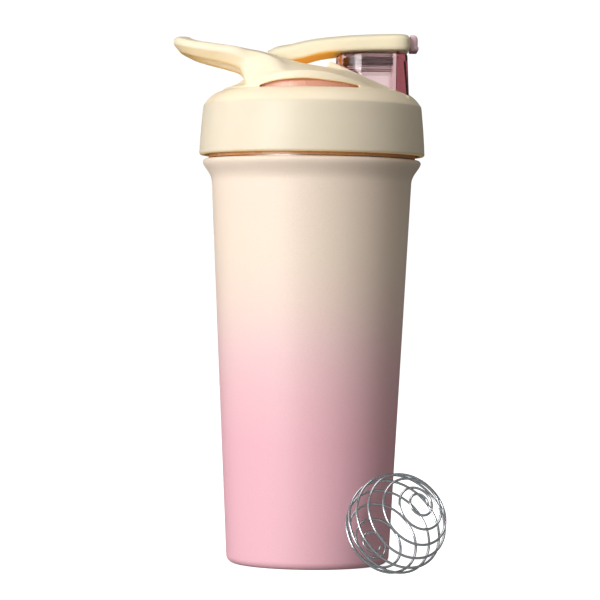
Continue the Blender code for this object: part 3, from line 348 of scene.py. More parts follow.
class Nodes:
    """Small helper to wire a node material."""

    def __init__(self, name):
        self.material = bpy.data.materials.new(name)
        self.material.use_nodes = True
        self.tree = self.material.node_tree
        self.shader = self.tree.nodes["Principled BSDF"]
        self.output = self.tree.nodes["Material Output"]
        self.place = self.tree.nodes.new("ShaderNodeTexCoord").outputs["Object"]

    def set(self, **values):
        for name, value in values.items():
            self.shader.inputs[name.replace("_", " ")].default_value = value

    def add(self, kind, **settings):
        node = self.tree.nodes.new(kind)
        for name, value in settings.items():
            setattr(node, name, value)
        return node

    def link(self, source, target):
        self.tree.links.new(source, target)

    def noise(self, scale, detail=2.0, roughness=0.5, stretch=None):
        node = self.add("ShaderNodeTexNoise")
        node.inputs["Scale"].default_value = scale
        node.inputs["Detail"].default_value = detail
        node.inputs["Roughness"].default_value = roughness
        if stretch:
            mapping = self.add("ShaderNodeMapping")
            mapping.inputs["Scale"].default_value = stretch
            self.link(self.place, mapping.inputs["Vector"])
            self.link(mapping.outputs["Vector"], node.inputs["Vector"])
        else:
            self.link(self.place, node.inputs["Vector"])
        return node.outputs["Fac"]

    def remap(self, source, low, high, start=0.3, end=0.7):
        node = self.add("ShaderNodeMapRange")
        for name, value in (("From Min", start), ("From Max", end), ("To Min", low), ("To Max", high)):
            node.inputs[name].default_value = value
        self.link(source, node.inputs["Value"])
        return node.outputs["Result"]

    def mix(self, fac, a, b):
        node = self.add("ShaderNodeMix", data_type="RGBA")
        self.link(fac, node.inputs["Factor"])
        for socket, value in ((node.inputs["A"], a), (node.inputs["B"], b)):
            if isinstance(value, tuple):
                socket.default_value = (*value, 1.0)
            else:
                self.link(value, socket)
        return node.outputs["Result"]

    def colour(self, source):
        self.link(source, self.shader.inputs["Base Color"])

    def rough(self, source, low, high):
        self.link(self.remap(source, low, high), self.shader.inputs["Roughness"])

    def bump(self, *layers):
        """Bump from (height source, strength, distance in millimetres) layers."""
        normal = None
        for source, strength, distance in layers:
            node = self.add("ShaderNodeBump")
            node.inputs["Strength"].default_value = strength
            node.inputs["Distance"].default_value = distance * MM
            self.link(source, node.inputs["Height"])
            if normal:
                self.link(normal, node.inputs["Normal"])
            normal = node.outputs["Normal"]
        self.link(normal, self.shader.inputs["Normal"])


def scaled(colour, factor):
    return tuple(min(c * factor, 1.0) for c in colour)


WHITE = (1.0, 1.0, 1.0, 1.0)
CREAM = (0.840, 0.740, 0.577)
CREAM_WALL = (0.935, 0.783, 0.645)
PINK = (0.925, 0.508, 0.590)


def height_fade(n, tint, start, end, other):
    """Fade a tint into another between two heights in millimetres; the callers use it for painted light and painted
    shade.
    """
    level = n.add("ShaderNodeSeparateXYZ")
    n.link(n.place, level.inputs["Vector"])
    return n.mix(n.remap(level.outputs["Z"], 0.0, 1.0, start * MM, end * MM), tint, other)


def moulded_plastic(name, colour, high=None, under=None, painted_glow=0.0, until=None):
    """Satin moulded plastic: faint clouding, fine spark-eroded grain and a little light under the surface.

    high is (start, end, colour) of a fade towards the top: painted light that makes the upper faces lighter, as if
    lit from above.
    under is the colour of painted light from below on the faces that look down. It is laid on as a tint and as a
    painted glow of the given strength, as far forward as X = until in millimetres.
    """
    n = Nodes(name)
    broad = n.noise(45.0, 2.0)
    fine = n.noise(3200.0, 3.0, 0.6)
    tint = n.mix(n.remap(broad, 0.0, 1.0), scaled(colour, 0.965), scaled(colour, 1.0175))
    # Painted light: the upper faces fade to a lighter tint, as if lit from above.
    if high:
        tint = height_fade(n, tint, *high)
    # Painted light: faces that look down get a warm tint and an emission glow standing in for light from below.
    if under:
        facing = n.add("ShaderNodeSeparateXYZ")
        n.link(n.add("ShaderNodeTexCoord").outputs["Normal"], facing.inputs["Vector"])
        down = n.remap(facing.outputs["Z"], 0.0, 1.0, -0.30, -0.90)
        if until:
            along = n.add("ShaderNodeSeparateXYZ")
            n.link(n.place, along.inputs["Vector"])
            both = n.add("ShaderNodeMath", operation="MULTIPLY")
            n.link(down, both.inputs[0])
            n.link(n.remap(along.outputs["X"], 1.0, 0.0, (until - 5.0) * MM, until * MM), both.inputs[1])
            down = both.outputs["Value"]
        tint = n.mix(down, tint, under)
        n.set(Emission_Color=(*under, 1.0))
        n.link(n.remap(down, 0.0, painted_glow, 0.0, 1.0), n.shader.inputs["Emission Strength"])
    n.colour(tint)
    n.rough(fine, 0.40, 0.50)
    n.bump((fine, 0.25, 0.05), (n.noise(160.0, 2.0), 0.12, 0.12))
    n.set(Subsurface_Weight=0.08, Subsurface_Scale=0.0012, Subsurface_Radius=(1.0, 0.55, 0.25))
    n.set(IOR=1.48)
    return n.material


# Heights between which the coat fades, and per step: place in the fade, and how far red and green, and then blue,
# have gone from pink to cream
FADE_HEIGHTS = (61.0, 148.0)
FADE = ((0.0, 0.0, 0.0), (0.126, 0.11, 0.20), (0.253, 0.185, 0.35), (0.379, 0.33, 0.70), (0.494, 0.47, 0.95),
        (0.62, 0.685, 1.0), (0.747, 0.84, 1.0), (0.874, 0.92, 1.0), (1.0, 1.0, 1.0))


def powder_coat():
    """Powder coat that fades from cream at the top to pink at the foot, with its fine sandy tooth."""
    n = Nodes("powder_coat")
    split = n.add("ShaderNodeSeparateXYZ")
    n.link(n.place, split.inputs["Vector"])
    drift = n.add("ShaderNodeMath", operation="MULTIPLY_ADD")
    n.link(n.noise(2600.0, 2.0, 0.7), drift.inputs[0])
    drift.inputs[1].default_value = 0.012
    n.link(split.outputs["Z"], drift.inputs[2])
    ramp = n.add("ShaderNodeValToRGB")
    ramp.color_ramp.interpolation = "B_SPLINE"
    while len(ramp.color_ramp.elements) < len(FADE):
        ramp.color_ramp.elements.new(0.5)
    for element, (position, green, blue) in zip(ramp.color_ramp.elements, FADE):
        shares = (green, green, blue)
        element.position = position
        element.color = (*(p + (c - p) * s for p, c, s in zip(PINK, CREAM_WALL, shares)), 1.0)
    low, high = FADE_HEIGHTS
    n.link(n.remap(drift.outputs["Value"], 0.0, 1.0, low * MM, high * MM), ramp.inputs["Fac"])
    speck = n.remap(n.noise(2300.0, 2.0, 0.65), 0.955, 1.03)
    tint = n.add("ShaderNodeMix", data_type="RGBA", blend_type="MULTIPLY")
    tint.inputs["Factor"].default_value = 1.0
    n.link(ramp.outputs["Color"], tint.inputs["A"])
    n.link(speck, tint.inputs["B"])
    n.colour(tint.outputs["Result"])
    grain = n.noise(1500.0, 4.0, 0.6)
    n.rough(grain, 0.42, 0.54)
    n.bump((grain, 0.35, 0.07), (n.noise(420.0, 2.0), 0.15, 0.06))
    n.set(IOR=1.5)
    return n.material


def steel(name, colour, rough, stretch=None, bump=0.12):
    n = Nodes(name)
    lines = n.noise(900.0, 3.0, 0.6, stretch)
    n.colour(n.mix(n.remap(lines, 0.0, 1.0), scaled(colour, 0.86), scaled(colour, 1.06)))
    n.rough(lines, rough * 0.75, rough * 1.3)
    n.bump((lines, bump, 0.02))
    n.set(Metallic=1.0)
    return n.material


def silicone(name, colour):
    n = Nodes(name)
    dust = n.noise(700.0, 4.0, 0.7)
    n.colour(n.mix(n.remap(dust, 0.0, 1.0), scaled(colour, 0.9), scaled(colour, 1.12)))
    n.rough(dust, 0.5, 0.65)
    n.bump((dust, 0.2, 0.03))
    n.set(IOR=1.41, Subsurface_Weight=0.1, Subsurface_Scale=0.001, Subsurface_Radius=(1.0, 0.6, 0.5))
    return n.material


def clear_plastic(name, colour, weight, rough, absorb=None, density=0.0, low=None):
    """Tinted see-through plastic with faint flow marks; the tint deepens with the thickness of the wall.

    low is (start, end, colour) of a fade towards the bottom, which is painted shade.
    """
    n = Nodes(name)
    flow = n.noise(60.0, 2.0, 0.5, (1.0, 1.0, 0.35))
    tint = n.mix(n.remap(flow, 0.0, 1.0), scaled(colour, 0.94), scaled(colour, 1.03))
    # Painted shade: a deeper orange towards the bottom.
    if low:
        tint = height_fade(n, tint, *low)
    n.colour(tint)
    n.rough(flow, *rough)
    n.bump((flow, 0.08, 0.12), (n.noise(1400.0, 2.0), 0.05, 0.02))
    n.set(Transmission_Weight=weight, IOR=1.49)
    if absorb:
        volume = n.add("ShaderNodeVolumeAbsorption")
        volume.inputs["Color"].default_value = (*absorb, 1.0)
        volume.inputs["Density"].default_value = density
        n.link(volume.outputs["Volume"], n.output.inputs["Volume"])
    return n.material


# ---------------------------------------------------------------------------------------------------------
# Bottle
# ---------------------------------------------------------------------------------------------------------

def wall_radius(z):
    return FOOT_RADIUS + (SHOULDER_RADIUS - FOOT_RADIUS) * z / SHOULDER_Z


def shell_profile():
    points = arc((wall_radius(FOOT_ROUND) - FOOT_ROUND, FOOT_ROUND), FOOT_ROUND, -90, 0, 12)
    points += [(wall_radius(z), z) for z in range(6, 172, 4)]
    points.append((SHOULDER_RADIUS, SHOULDER_Z))
    edge = FLANGE_TOP - FLANGE_EDGE
    rise = edge - SHOULDER_Z
    points += bezier(points[-1], (SHOULDER_RADIUS + 0.1, SHOULDER_Z + 0.45 * rise),
                     (FLANGE_RADIUS - 0.3, edge - 0.28 * rise), (FLANGE_RADIUS, edge), 16)
    points += arc((FLANGE_RADIUS - FLANGE_EDGE, edge), FLANGE_EDGE, 0, 90, 8)[1:]
    points.append((NECK_RADIUS + 0.35, FLANGE_TOP))
    return points


def thread_height(z, angle, phase=0.0):
    """Height of the thread's rounded ridge at a place, as a share of its depth."""
    place_on = ((z - THREAD_LOW) / THREAD_LEAD - angle / (2.0 * math.pi)) * THREAD_STARTS + phase
    distance = abs(place_on - round(place_on))
    t = min(max((0.27 - distance) / 0.15, 0.0), 1.0)
    ends = min((z - THREAD_LOW) / 2.0, (THREAD_HIGH - z) / 2.0, 1.0)
    return t * t * (3.0 - 2.0 * t) * max(ends, 0.0)


def thread_rows():
    count = round((THREAD_HIGH - THREAD_LOW) / THREAD_STEP)
    return [THREAD_LOW + (THREAD_HIGH - THREAD_LOW) * k / count for k in range(count + 1)]


def outer_shell():
    outside = shell_profile()
    inside = [(radius - SHELL_WALL, z) for radius, z in outside[1:-10]]
    inside = [(outside[0][0], SHELL_WALL)] + [p for p in inside if p[1] > 1.5] + [
        (NECK_RADIUS + 0.35, FLANGE_TOP - SHELL_WALL)]
    return raw_object("coated_wall", turned(outside + inside[::-1]))


def inner_liner():
    corner_z = LINER_FLOOR + LINER_CORNER
    corner_x = wall_radius(corner_z) - LINER_OFFSET - LINER_CORNER
    under = LINER_FLOOR - LINER_WALL
    bend = SHOULDER_Z - 4.0
    inside = [(0.0, LINER_FLOOR), (LINER_FLAT, LINER_FLOOR)]
    inside += arc((corner_x, corner_z), LINER_CORNER, -90, 0, 12)
    inside += [(wall_radius(z) - LINER_OFFSET, z) for z in range(24, 166, 12)]
    inside += [(wall_radius(bend) - LINER_OFFSET, bend)]
    inside += bezier(inside[-1], (wall_radius(bend) - LINER_OFFSET + 0.1, bend + 3.4),
                     (NECK_BORE, SHOULDER_Z + 0.8), (NECK_BORE, SHOULDER_Z + 4.0), 6)
    inside += [(NECK_BORE, NECK_TOP - 0.5), (NECK_BORE + 0.5, NECK_TOP)]
    outside = [(0.0, under), (LINER_FLAT, under)]
    outside += arc((corner_x, corner_z), LINER_CORNER + LINER_WALL, -90, 0, 12)
    outside += [(wall_radius(z) - LINER_OFFSET + LINER_WALL, z) for z in range(24, 166, 12)]
    outside += [(wall_radius(bend) - LINER_OFFSET + LINER_WALL, bend), (NECK_RADIUS, SHOULDER_Z + 4.0)]
    outside += [(NECK_RADIUS, z) for z in thread_rows()]
    outside += [(NECK_RADIUS, NECK_TOP - 0.5), (NECK_RADIUS - 0.5, NECK_TOP)]

    def threaded(radius, z, angle):
        return radius + THREAD_DEPTH * thread_height(z, angle) if radius == NECK_RADIUS else radius

    return raw_object("steel_liner", turned(outside + inside[::-1], threaded))


# ---------------------------------------------------------------------------------------------------------
# Lid shell
# ---------------------------------------------------------------------------------------------------------

def ring_outside():
    points = arc((LID_FOOT_RADIUS - 1.0, LID_BOTTOM + 1.0), 1.0, -90, 0, 6)
    points += [(50.95, 190.0), (50.5, 196.6), (50.0, 202.0)]
    points += [(CREASE_RADIUS + 0.25, CREASE_Z - 1.4), (CREASE_RADIUS, CREASE_Z)]
    rise = SILL_Z - CREASE_Z
    points += bezier(points[-1], (CREASE_RADIUS - 2.6, CREASE_Z + 0.62 * rise),
                     (SILL_RADIUS + 3.4, SILL_Z - 0.9), (SILL_RADIUS, SILL_Z), 12)
    return points


def shoulder_line():
    return (CREASE_RADIUS - 2.0, CREASE_Z - 1.0), (SILL_RADIUS - 1.0, SILL_Z - 2.2)


def seam_z(x):
    share = (x - COLLAR_REAR[0]) / (COLLAR_FRONT[0] - COLLAR_REAR[0])
    return COLLAR_REAR[1] + (COLLAR_FRONT[1] - COLLAR_REAR[1]) * share


# Height of the arms' top and of the arches' rim along X
ARM_TOP = [(-62.0, 237.0), (-54.0, 235.2), (-41.5, 233.5), (-32.5, 232.1), (-23.6, 230.7), (-12.5, 227.6),
           (-4.3, 225.5), (6.0, 223.8), (17.1, 221.6), (30.1, 216.1), (42.6, 210.3)]
RIM_TOP = [(-36.0, 213.6), (-32.0, 214.6), (-27.0, 216.8), (-21.5, 218.7), (-15.0, 220.2), (-3.0, 220.9),
           (5.0, 220.3), (13.5, 218.5), (22.0, 216.0), (28.5, 213.6), (36.0, 211.8), (42.0, 209.0)]
# Crease between the arm's upper band and the chamfer under it: x, distance from the plane of symmetry, height
CREASE = [(-33.0, 26.4, 228.0), (-28.0, 27.2, 226.9), (-24.0, 28.6, 225.5), (-19.0, 32.0, 223.2),
          (-14.5, 36.6, 221.1), (-11.0, 39.3, 220.6)]
# Loop stations: inner point, outer point, heights of the top, the crease and the bottom
LOOP = [((-55.4, 0.0), (-63.3, 0.0), 238.1, 234.7, 230.7), ((-55.0, 4.4), (-62.9, 5.6), 238.0, 234.6, 230.4),
        ((-53.7, 8.8), (-60.8, 11.6), 237.0, 233.9, 229.7), ((-50.6, 13.0), (-56.0, 18.0), 235.6, 232.4, 228.2),
        ((-45.6, 15.4), (-48.4, 22.0), 234.4, 230.9, 226.6), ((-38.6, 17.6), (-39.8, 24.4), 233.2, 229.6, 224.8),
        ((-32.5, 19.5), (-33.0, 26.4), 232.1, 228.0, 222.4)]


def rim_y(x, radius):
    return math.sqrt(max(radius * radius - x * x, 0.0))


def loop_section(station):
    (ix, iy), (ox, oy), top, crease, bottom = station

    def at(share, z):
        return (ix + (ox - ix) * share, iy + (oy - iy) * share, z)

    return [at(0.0, bottom + 1.6), at(0.0, top - 1.2), at(0.14, top - 0.15), at(0.5, top + 0.1),
            at(0.86, top - 0.25), at(1.0, top - 1.5), at(1.0, crease), at(0.66, bottom + 0.7),
            at(0.5, bottom), at(0.3, bottom - 0.1), at(0.1, bottom + 0.4)]


def arch_section(x):
    """Section of an arm and the arch it runs into, at X = x."""
    top = curve_of(ARM_TOP, x)
    rim = min(curve_of(RIM_TOP, x), top - 0.2)
    radius = RIM_RADIUS + max(x - ARCH_FRONT_X, 0.0) * RIM_SPREAD
    outer = max(rim_y(x, radius), ARM_OUTER)
    inner = max(rim_y(x, radius - RIM_THICKNESS), 21.0)
    low = min(DECK[0], seam_z(x) - COLLAR_ROOF)
    roof = min(low, rim - ROOF_THICKNESS)
    thin = min(max((x - 6.0) / 14.0, 0.0), 1.0)
    lip = min(max(rim - RIM_LIP + 1.6 * thin, SILL_Z - 1.6), roof - 0.1)
    creased = x < CREASE_END_X
    fade = min(max((CREASE_END_X - x) / 9.0, 0.0), 1.0)
    crease_y = curve_of([row[:2] for row in CREASE], x) if creased else outer - 1.4
    crease_z = curve_of([(row[0], row[2]) for row in CREASE], x) if creased else rim + 0.25
    band_y = 21.5 + (crease_y - 21.5) * (0.35 + 0.45 * fade)
    band_z = top + (crease_z - top) * (0.33 - 0.10 * fade)
    foot_y = crease_y + (outer - crease_y) * 0.45 - 0.6 * fade if creased else outer - 0.5
    foot_z = crease_z + (rim - crease_z) * 0.55 - 0.4 * fade if creased else rim + 0.1
    return [(x, ARM_INNER, low), (x, ARM_INNER, top - 1.0), (x, ARM_INNER + 0.5, top - 0.2),
            (x, ARM_INNER + 1.1, top), (x, ARM_OUTER, top - 0.25), (x, band_y, band_z), (x, crease_y, crease_z),
            (x, foot_y, foot_z), (x, outer, rim - 0.5), (x, outer, lip), (x, inner, lip - 0.1)]


def arm_sections(side):
    """Sections of one arm, from the middle of the carry loop to the collar."""
    keys = [-62.0, -58.5, -54.5, -49.0, -43.5, -38.0, -33.0]
    stations = [loop_section(s) for s in LOOP]
    xs = [-28.5 + 2.25 * k for k in range(32)]
    keys += xs
    stations += [arch_section(x) for x in xs]
    sections = []
    steps = 130
    for k in range(steps + 1):
        key = keys[0] + (keys[-1] - keys[0]) * k / steps
        points = [spline(keys, [s[i] for s in stations], key) for i in range(len(stations[0]))]
        sections.append([(a, side * b, c) for a, b, c in points])
    return sections


def arms():
    near = arm_sections(-1.0)
    far = arm_sections(1.0)
    return skin(bmesh.new(), near[::-1] + far[1:], caps=True)


def back_root():
    """Ramp from the shoulder up to the deck under the carry loop."""
    low = DECK[0] + 0.1
    outline = [(-SILL_RADIUS + 1.4, SILL_Z - 1.5), (-SILL_RADIUS - 0.2, SILL_Z - 0.5),
               (-SILL_RADIUS + 0.8, SILL_Z + 0.9), (-36.8, 215.8), (-33.0, 217.7), (-31.2, 219.4),
               (-29.6, 220.6), (-27.5, DECK[1] + 0.5), (-25.0, DECK[1] - 0.4), (-25.0, low),
               (-DOME_EDGE - 0.1, low), (-DOME_FOOT[0] - 0.1, DOME_FOOT[1] + 1.0)]
    rows = []
    for k in range(29):
        y = -28.0 + 2.0 * k
        pull = SILL_RADIUS - rim_y(y, SILL_RADIUS)
        row = []
        for x, z in outline:
            share = min(max((-x - 24.0) / 12.0, 0.0), 1.0)
            row.append((x + pull * share, y, z))
        rows.append(row)
    return skin(bmesh.new(), rows, caps=True)


def collar():
    rear, front = COLLAR_REAR, COLLAR_FRONT
    low = DECK[0] + 0.2
    knee = rear[0] + (rear[1] - COLLAR_ROOF - low) / ((rear[1] - front[1]) / (front[0] - rear[0]))
    outline = [(rear[0], low), (rear[0] + 0.1, rear[1] - 1.9), (rear[0] + 0.7, rear[1] - 0.6),
               (rear[0] + 1.6, seam_z(rear[0] + 1.6)), (front[0], front[1]), (front[0] + 0.8, front[1] - 1.0),
               (front[0] - 0.6, seam_z(front[0] - 0.6) - COLLAR_ROOF + 0.3), (knee, low)]
    return side_prism(outline, ARM_INNER + 0.4)


def spout_outline(margin, z):
    lean = SPOUT_SLANT * (SPOUT_TOP - z) / (SPOUT_TOP - COLLAR_FRONT[1])
    x = (SPOUT_X[0] - margin, SPOUT_X[1] + lean + margin)
    return rounded_rectangle(x, SPOUT_HALF + margin, *(radius + margin for radius in SPOUT_CORNERS))


def spout_solid(margin, heights):
    rows = [[(a, b, z) for a, b in spout_outline(margin, z)] for z in heights]
    return skin(bmesh.new(), rows, caps=True)


def root_weight(x, y, z):
    """Where the arms grow out of the arches, which is one soft blend."""
    across = min(max((abs(y) - 21.0) / 3.0, 0.0), 1.0)
    along = min(max((x + 36.0) / 4.0, 0.0), 1.0) * min(max((-4.0 - x) / 6.0, 0.0), 1.0)
    up = min(max((z - 217.0) / 2.0, 0.0), 1.0)
    return across * along * up


def relaxed(thing, weight, rounds):
    """Smooth the skin further where a weight of the place in millimetres says so."""
    group = thing.vertex_groups.new(name="relax")
    for vertex in thing.data.vertices:
        share = weight(*(vertex.co / MM))
        if share > 0.0:
            group.add([vertex.index], share, "REPLACE")
    modifier = thing.modifiers.new("relax", "SMOOTH")
    modifier.factor = RELAX
    modifier.iterations = rounds
    modifier.vertex_group = group.name
    applied(thing)
    thing.vertex_groups.clear()


def sharpened_ring(thing):
    """Set the ring's outer skin back on its turned profile, with the crease as a clean line."""
    table = sorted((z, radius) for radius, z in ring_outside()[3:])
    for vertex in thing.data.vertices:
        x, y, z = vertex.co / MM
        radius = math.hypot(x, y)
        if not LID_BOTTOM + 0.6 < z < 209.6:
            continue
        if abs(z - CREASE_Z) < 0.22:
            z = CREASE_Z
        target = straight_of(table, z)
        if abs(radius - target) > 0.8:
            continue
        share = min((209.6 - z) / 1.0, 1.0)
        factor = 1.0 + (target / radius - 1.0) * share
        vertex.co = (x * factor * MM, y * factor * MM, z * MM)


def lid_shell():
    outside = ring_outside()
    low, high = shoulder_line()
    inside = [(LID_FOOT_RADIUS - 2.0, LID_BOTTOM), (LID_FOOT_RADIUS - 2.4, 192.0), low, high,
              (high[0], SILL_Z - 0.5)]
    deck = box((-28.6, COLLAR_REAR[0] + 2.0), (-ARM_INNER - 0.6, ARM_INNER + 0.6), DECK)
    shell = joined("lid_moulding", [turned(outside + inside[::-1]), arms(), deck, back_root(), collar()])
    remeshed(shell, 0.42, 5)
    relaxed(shell, root_weight, 30)
    sharpened_ring(shell)
    cut(shell, spout_solid(0.4, (200.0, SPOUT_TOP + 6.0)))
    cut(shell, crosswise_cylinder(*HINGE, PIN_RADIUS + PIN_PLAY, (-22.55, 22.55)))
    return shell


# ---------------------------------------------------------------------------------------------------------
# Lid core and spout
# ---------------------------------------------------------------------------------------------------------

def bore_outline(margin):
    x = (SPOUT_X[0] + SPOUT_WALL - margin, SPOUT_X[1] - SPOUT_FRONT_WALL + margin)
    return rounded_rectangle(x, SPOUT_HALF - SPOUT_WALL + margin, *(radius + margin for radius in BORE_CORNERS))


def seam_wedge(drop):
    """Everything above the collar's underside, moved down by a drop."""
    rear, front = COLLAR_REAR[0], COLLAR_FRONT[0] + 6.0
    return [(rear, seam_z(rear) - COLLAR_ROOF - drop), (front, seam_z(front) - COLLAR_ROOF - drop),
            (front, 250.0), (rear, 250.0)]


def ring_directions():
    return [(math.cos(2.0 * math.pi * k / RING), math.sin(2.0 * math.pi * k / RING)) for k in range(RING)]


def drum_top(x):
    """Height of the core's drum behind the side arches, which drops with their rim towards the back and front."""
    return max(min(curve_of(RIM_TOP, x) - 1.3, DRUM_TOP), DOME_FOOT[1] + 1.0)


def lid_core():
    """The threaded skirt and drum; the spout is cut out of it and stands as its own clear piece."""
    root = NECK_RADIUS + THREAD_DEPTH + THREAD_CLEARANCE
    outer = root + CORE_WALL
    low, high = shoulder_line()
    slope = (high[1] - low[1]) / (low[0] - high[0])
    drop = 0.45
    outside = [(0.0, CORE_BOTTOM), (outer, CORE_BOTTOM), (outer, low[1] + (low[0] - outer) * slope - drop),
               (high[0], high[1] - drop), (DRUM_RADIUS, DOME_FOOT[1] - 0.3)]
    rows = [[(0.0, 0.0, CORE_BOTTOM)]]
    rows += [[(r * c, r * s, z) for c, s in ring_directions()] for r, z in outside[1:]]
    edge = ((DRUM_RADIUS, 1.2), (DRUM_RADIUS - 0.3, 0.5), (DRUM_RADIUS - 1.0, 0.1), (34.0, 0.0))
    for radius, below in edge:
        rows.append([(radius * c, radius * s, drum_top(DRUM_RADIUS * c) - below) for c, s in ring_directions()])
    rows.append([(24.0 * c, 24.0 * s, max(drum_top(DRUM_RADIUS * c), DOME_TOP)) for c, s in ring_directions()])
    rows.append([(0.0, 0.0, DRUM_TOP)])
    core = raw_object("core_skirt", skin(bmesh.new(), rows))
    foot = DOME_FOOT[0] - CORE_WALL
    profile = [(0.0, CORE_BOTTOM - 2.0), (root, CORE_BOTTOM - 2.0)] + [(root, z) for z in thread_rows()]
    profile += [(root, 205.8), (foot + 2.0, 205.8), (foot, 207.8), (foot, DOME_FOOT[1] - 0.6),
                (DOME_EDGE - 1.5, DOME_TOP - CORE_WALL), (0.0, DOME_TOP - CORE_WALL)]

    def threaded(radius, z, angle):
        if radius != root or z > THREAD_HIGH:
            return radius
        return radius - THREAD_DEPTH * thread_height(z, angle, 0.5)

    cavity = raw_object("cavity", turned(profile, threaded))
    cut(cavity, side_prism(seam_wedge(GAP + CORE_WALL), 60.0))
    cut(core, side_prism(seam_wedge(GAP), 60.0))
    subtract(core, cavity)
    cut(core, spout_solid(0.02, (200.0, SPOUT_TOP + 6.0)))
    return core


def spout():
    top = SPOUT_TOP
    rows = []
    heights = [208.0 + 0.9 * k for k in range(25)] + [top - 0.25, top]
    for z in heights:
        inset = 0.5 * max(0.0, (z - top + 0.5) / 0.5) ** 2
        rows.append([(a, b, z) for a, b in spout_outline(-inset, z)])
    inner = []
    for z in heights[::-1]:
        flare = 0.5 * max(0.0, (z - top + 0.5) / 0.5) ** 2
        inner.append([(a, b, z) for a, b in bore_outline(flare)])
    body = raw_object("spout_wall", skin(bmesh.new(), rows + inner, close_rows=True))
    cut(body, side_prism([(8.0, 228.9), (14.4, 231.1), (8.0, 233.0)], 20.0))
    cut(body, side_prism([(38.9, 227.8), (41.85, 227.8), (41.85, 232.0), (38.9, 232.0)], 4.4))
    return body


def mouth_gasket():
    """A ring with a rounded, nearly square section over the neck's rim."""
    half = 1.6
    centre = (NECK_BORE - 0.8 + half, NECK_TOP + 0.9)
    profile = []
    for k in range(24):
        angle = 2.0 * math.pi * k / 24
        x = math.copysign(abs(math.cos(angle)) ** 0.6, math.cos(angle)) * half
        z = math.copysign(abs(math.sin(angle)) ** 0.6, math.sin(angle)) * 0.55
        profile.append((centre[0] + x, centre[1] + z))
    return raw_object("gasket_ring", turned(profile))


# ---------------------------------------------------------------------------------------------------------
# Flip bar, stopper and button
# ---------------------------------------------------------------------------------------------------------

# Bar stations: x, half-width, heights of the bottom, the side's upper edge and the crown
BAR = [(-20.5, 19.0, 223.6, 228.9, 232.0), (-16.0, 19.0, 224.6, 230.5, 234.1),
       (-10.6, 19.0, 226.0, 231.9, 235.1), (-4.0, 19.0, 227.6, 233.6, 236.7),
       (3.1, 19.0, 229.6, 234.9, 238.0), (10.3, 19.0, 230.7, 235.8, 238.8),
       (17.5, 19.0, 231.35, 236.7, 239.4), (28.2, 19.0, 231.8, 237.4, 239.9), (36.0, 19.0, 231.95, 237.8, 240.1),
       (39.6, 18.5, 232.0, 237.8, 240.1), (41.8, 17.4, 232.1, 237.6, 239.9), (43.0, 15.9, 232.4, 237.2, 239.5),
       (43.6, 14.0, 233.2, 236.5, 238.8)]


def bar_section(row):
    x, half, low, side, top = row
    right = [(half - 2.4, low), (half - 0.7, low + 0.25), (half, low + 1.3), (half, side - 1.2),
             (half - 0.35, side + (top - side) * 0.05), (half - 1.4, side + (top - side) * 0.34),
             (half - 3.2, side + (top - side) * 0.56), (half * 0.6, side + (top - side) * 0.82),
             (half * 0.25, top)]
    return [(x, y, z) for y, z in right + [(-y, z) for y, z in right[::-1]]]


def flip_bar():
    keys = [row[0] for row in BAR]
    values = [row[1:] for row in BAR]
    length = keys[-1] - keys[0]
    xs = [keys[0] + length * (1.0 - (1.0 - k / 70.0) ** 1.25) for k in range(71)]
    sections = [bar_section((x, *spline(keys, values, x))) for x in xs]
    knuckle = arc(HINGE, KNUCKLE_RADIUS, 80, 264, 23)
    knuckle += [(HINGE[0] + 3.4, HINGE[1] - 2.6), (HINGE[0] + 3.4, HINGE[1] + 4.0)]
    bar = joined("flip_bar_shell", [skin(bmesh.new(), sections, caps=True), side_prism(knuckle, 18.95)])
    remeshed(bar, 0.36, 5)
    cut(bar, crosswise_cylinder(*HINGE, PIN_RADIUS + PIN_PLAY, (-20.0, 20.0)))
    x, z = HINGE
    for side in (-11.5, 11.5):  # room for the hinge springs
        cut(bar, box((x - 6.0, x + 7.0), (side - 2.8, side + 2.8), (z - 5.0, z + 3.8)))
    cut(bar, box((42.3, 47.0), (-11.0, 11.0), (229.0, 245.0)))  # notch for the button
    cut(bar, box((33.6, 43.3), (-8.4, 8.4), (233.4, 237.2)))    # pocket for its stem and spring
    cut(bar, box((38.7, 43.3), (-4.4, 4.4), (229.5, 235.3)))    # slot for its hook
    seat = [(12.65, 229.5), (38.9, 229.5), (38.9, 233.45), (12.65, 233.45)]  # of the stopper
    cut(bar, side_prism(seat, 15.35))
    return bar


def rolled_edges(margin, low, high, edge):
    """Margins and heights of a plug whose two ends have rolled edges."""
    rows = []
    for k in range(5):
        t = math.radians(90.0 * k / 4)
        rows.append((margin - edge * (1.0 - math.sin(t)), low + edge * (1.0 - math.cos(t))))
    return rows + [(m, high - (z - low)) for m, z in rows[::-1]]


def stopper():
    shapes = []
    # The plug, its foot and the flange over the seal: margin from the bore, bottom, top, radius of the edges
    for disc in ((-2.35, 223.2, 230.8, 0.3), (-1.3, 222.4, 224.65, 0.5), (-0.7, 229.35, 229.7, 0.1)):
        rows = [[(a, b, z) for a, b in bore_outline(m)] for m, z in rolled_edges(*disc)]
        shapes.append(skin(bmesh.new(), rows, caps=True))
    return remeshed(joined("stopper_body", shapes), 0.28, 2)


def spout_seal():
    """Soft ring with two lips that press on the spout's bore."""
    outer = []
    for k in range(17):
        t = k / 16.0
        lip = 0.42 * (1.0 - abs(math.cos(2.0 * math.pi * t)))
        outer.append((-0.4 - 0.42 + lip, SEAL[0] + (SEAL[1] - SEAL[0]) * t))
    rows = [[(a, b, z) for a, b in bore_outline(m)] for m, z in outer]
    rows += [[(a, b, z) for a, b in bore_outline(-2.0)] for z in (SEAL[1], SEAL[0])]
    return raw_object("seal_ring", skin(bmesh.new(), rows, close_rows=True))


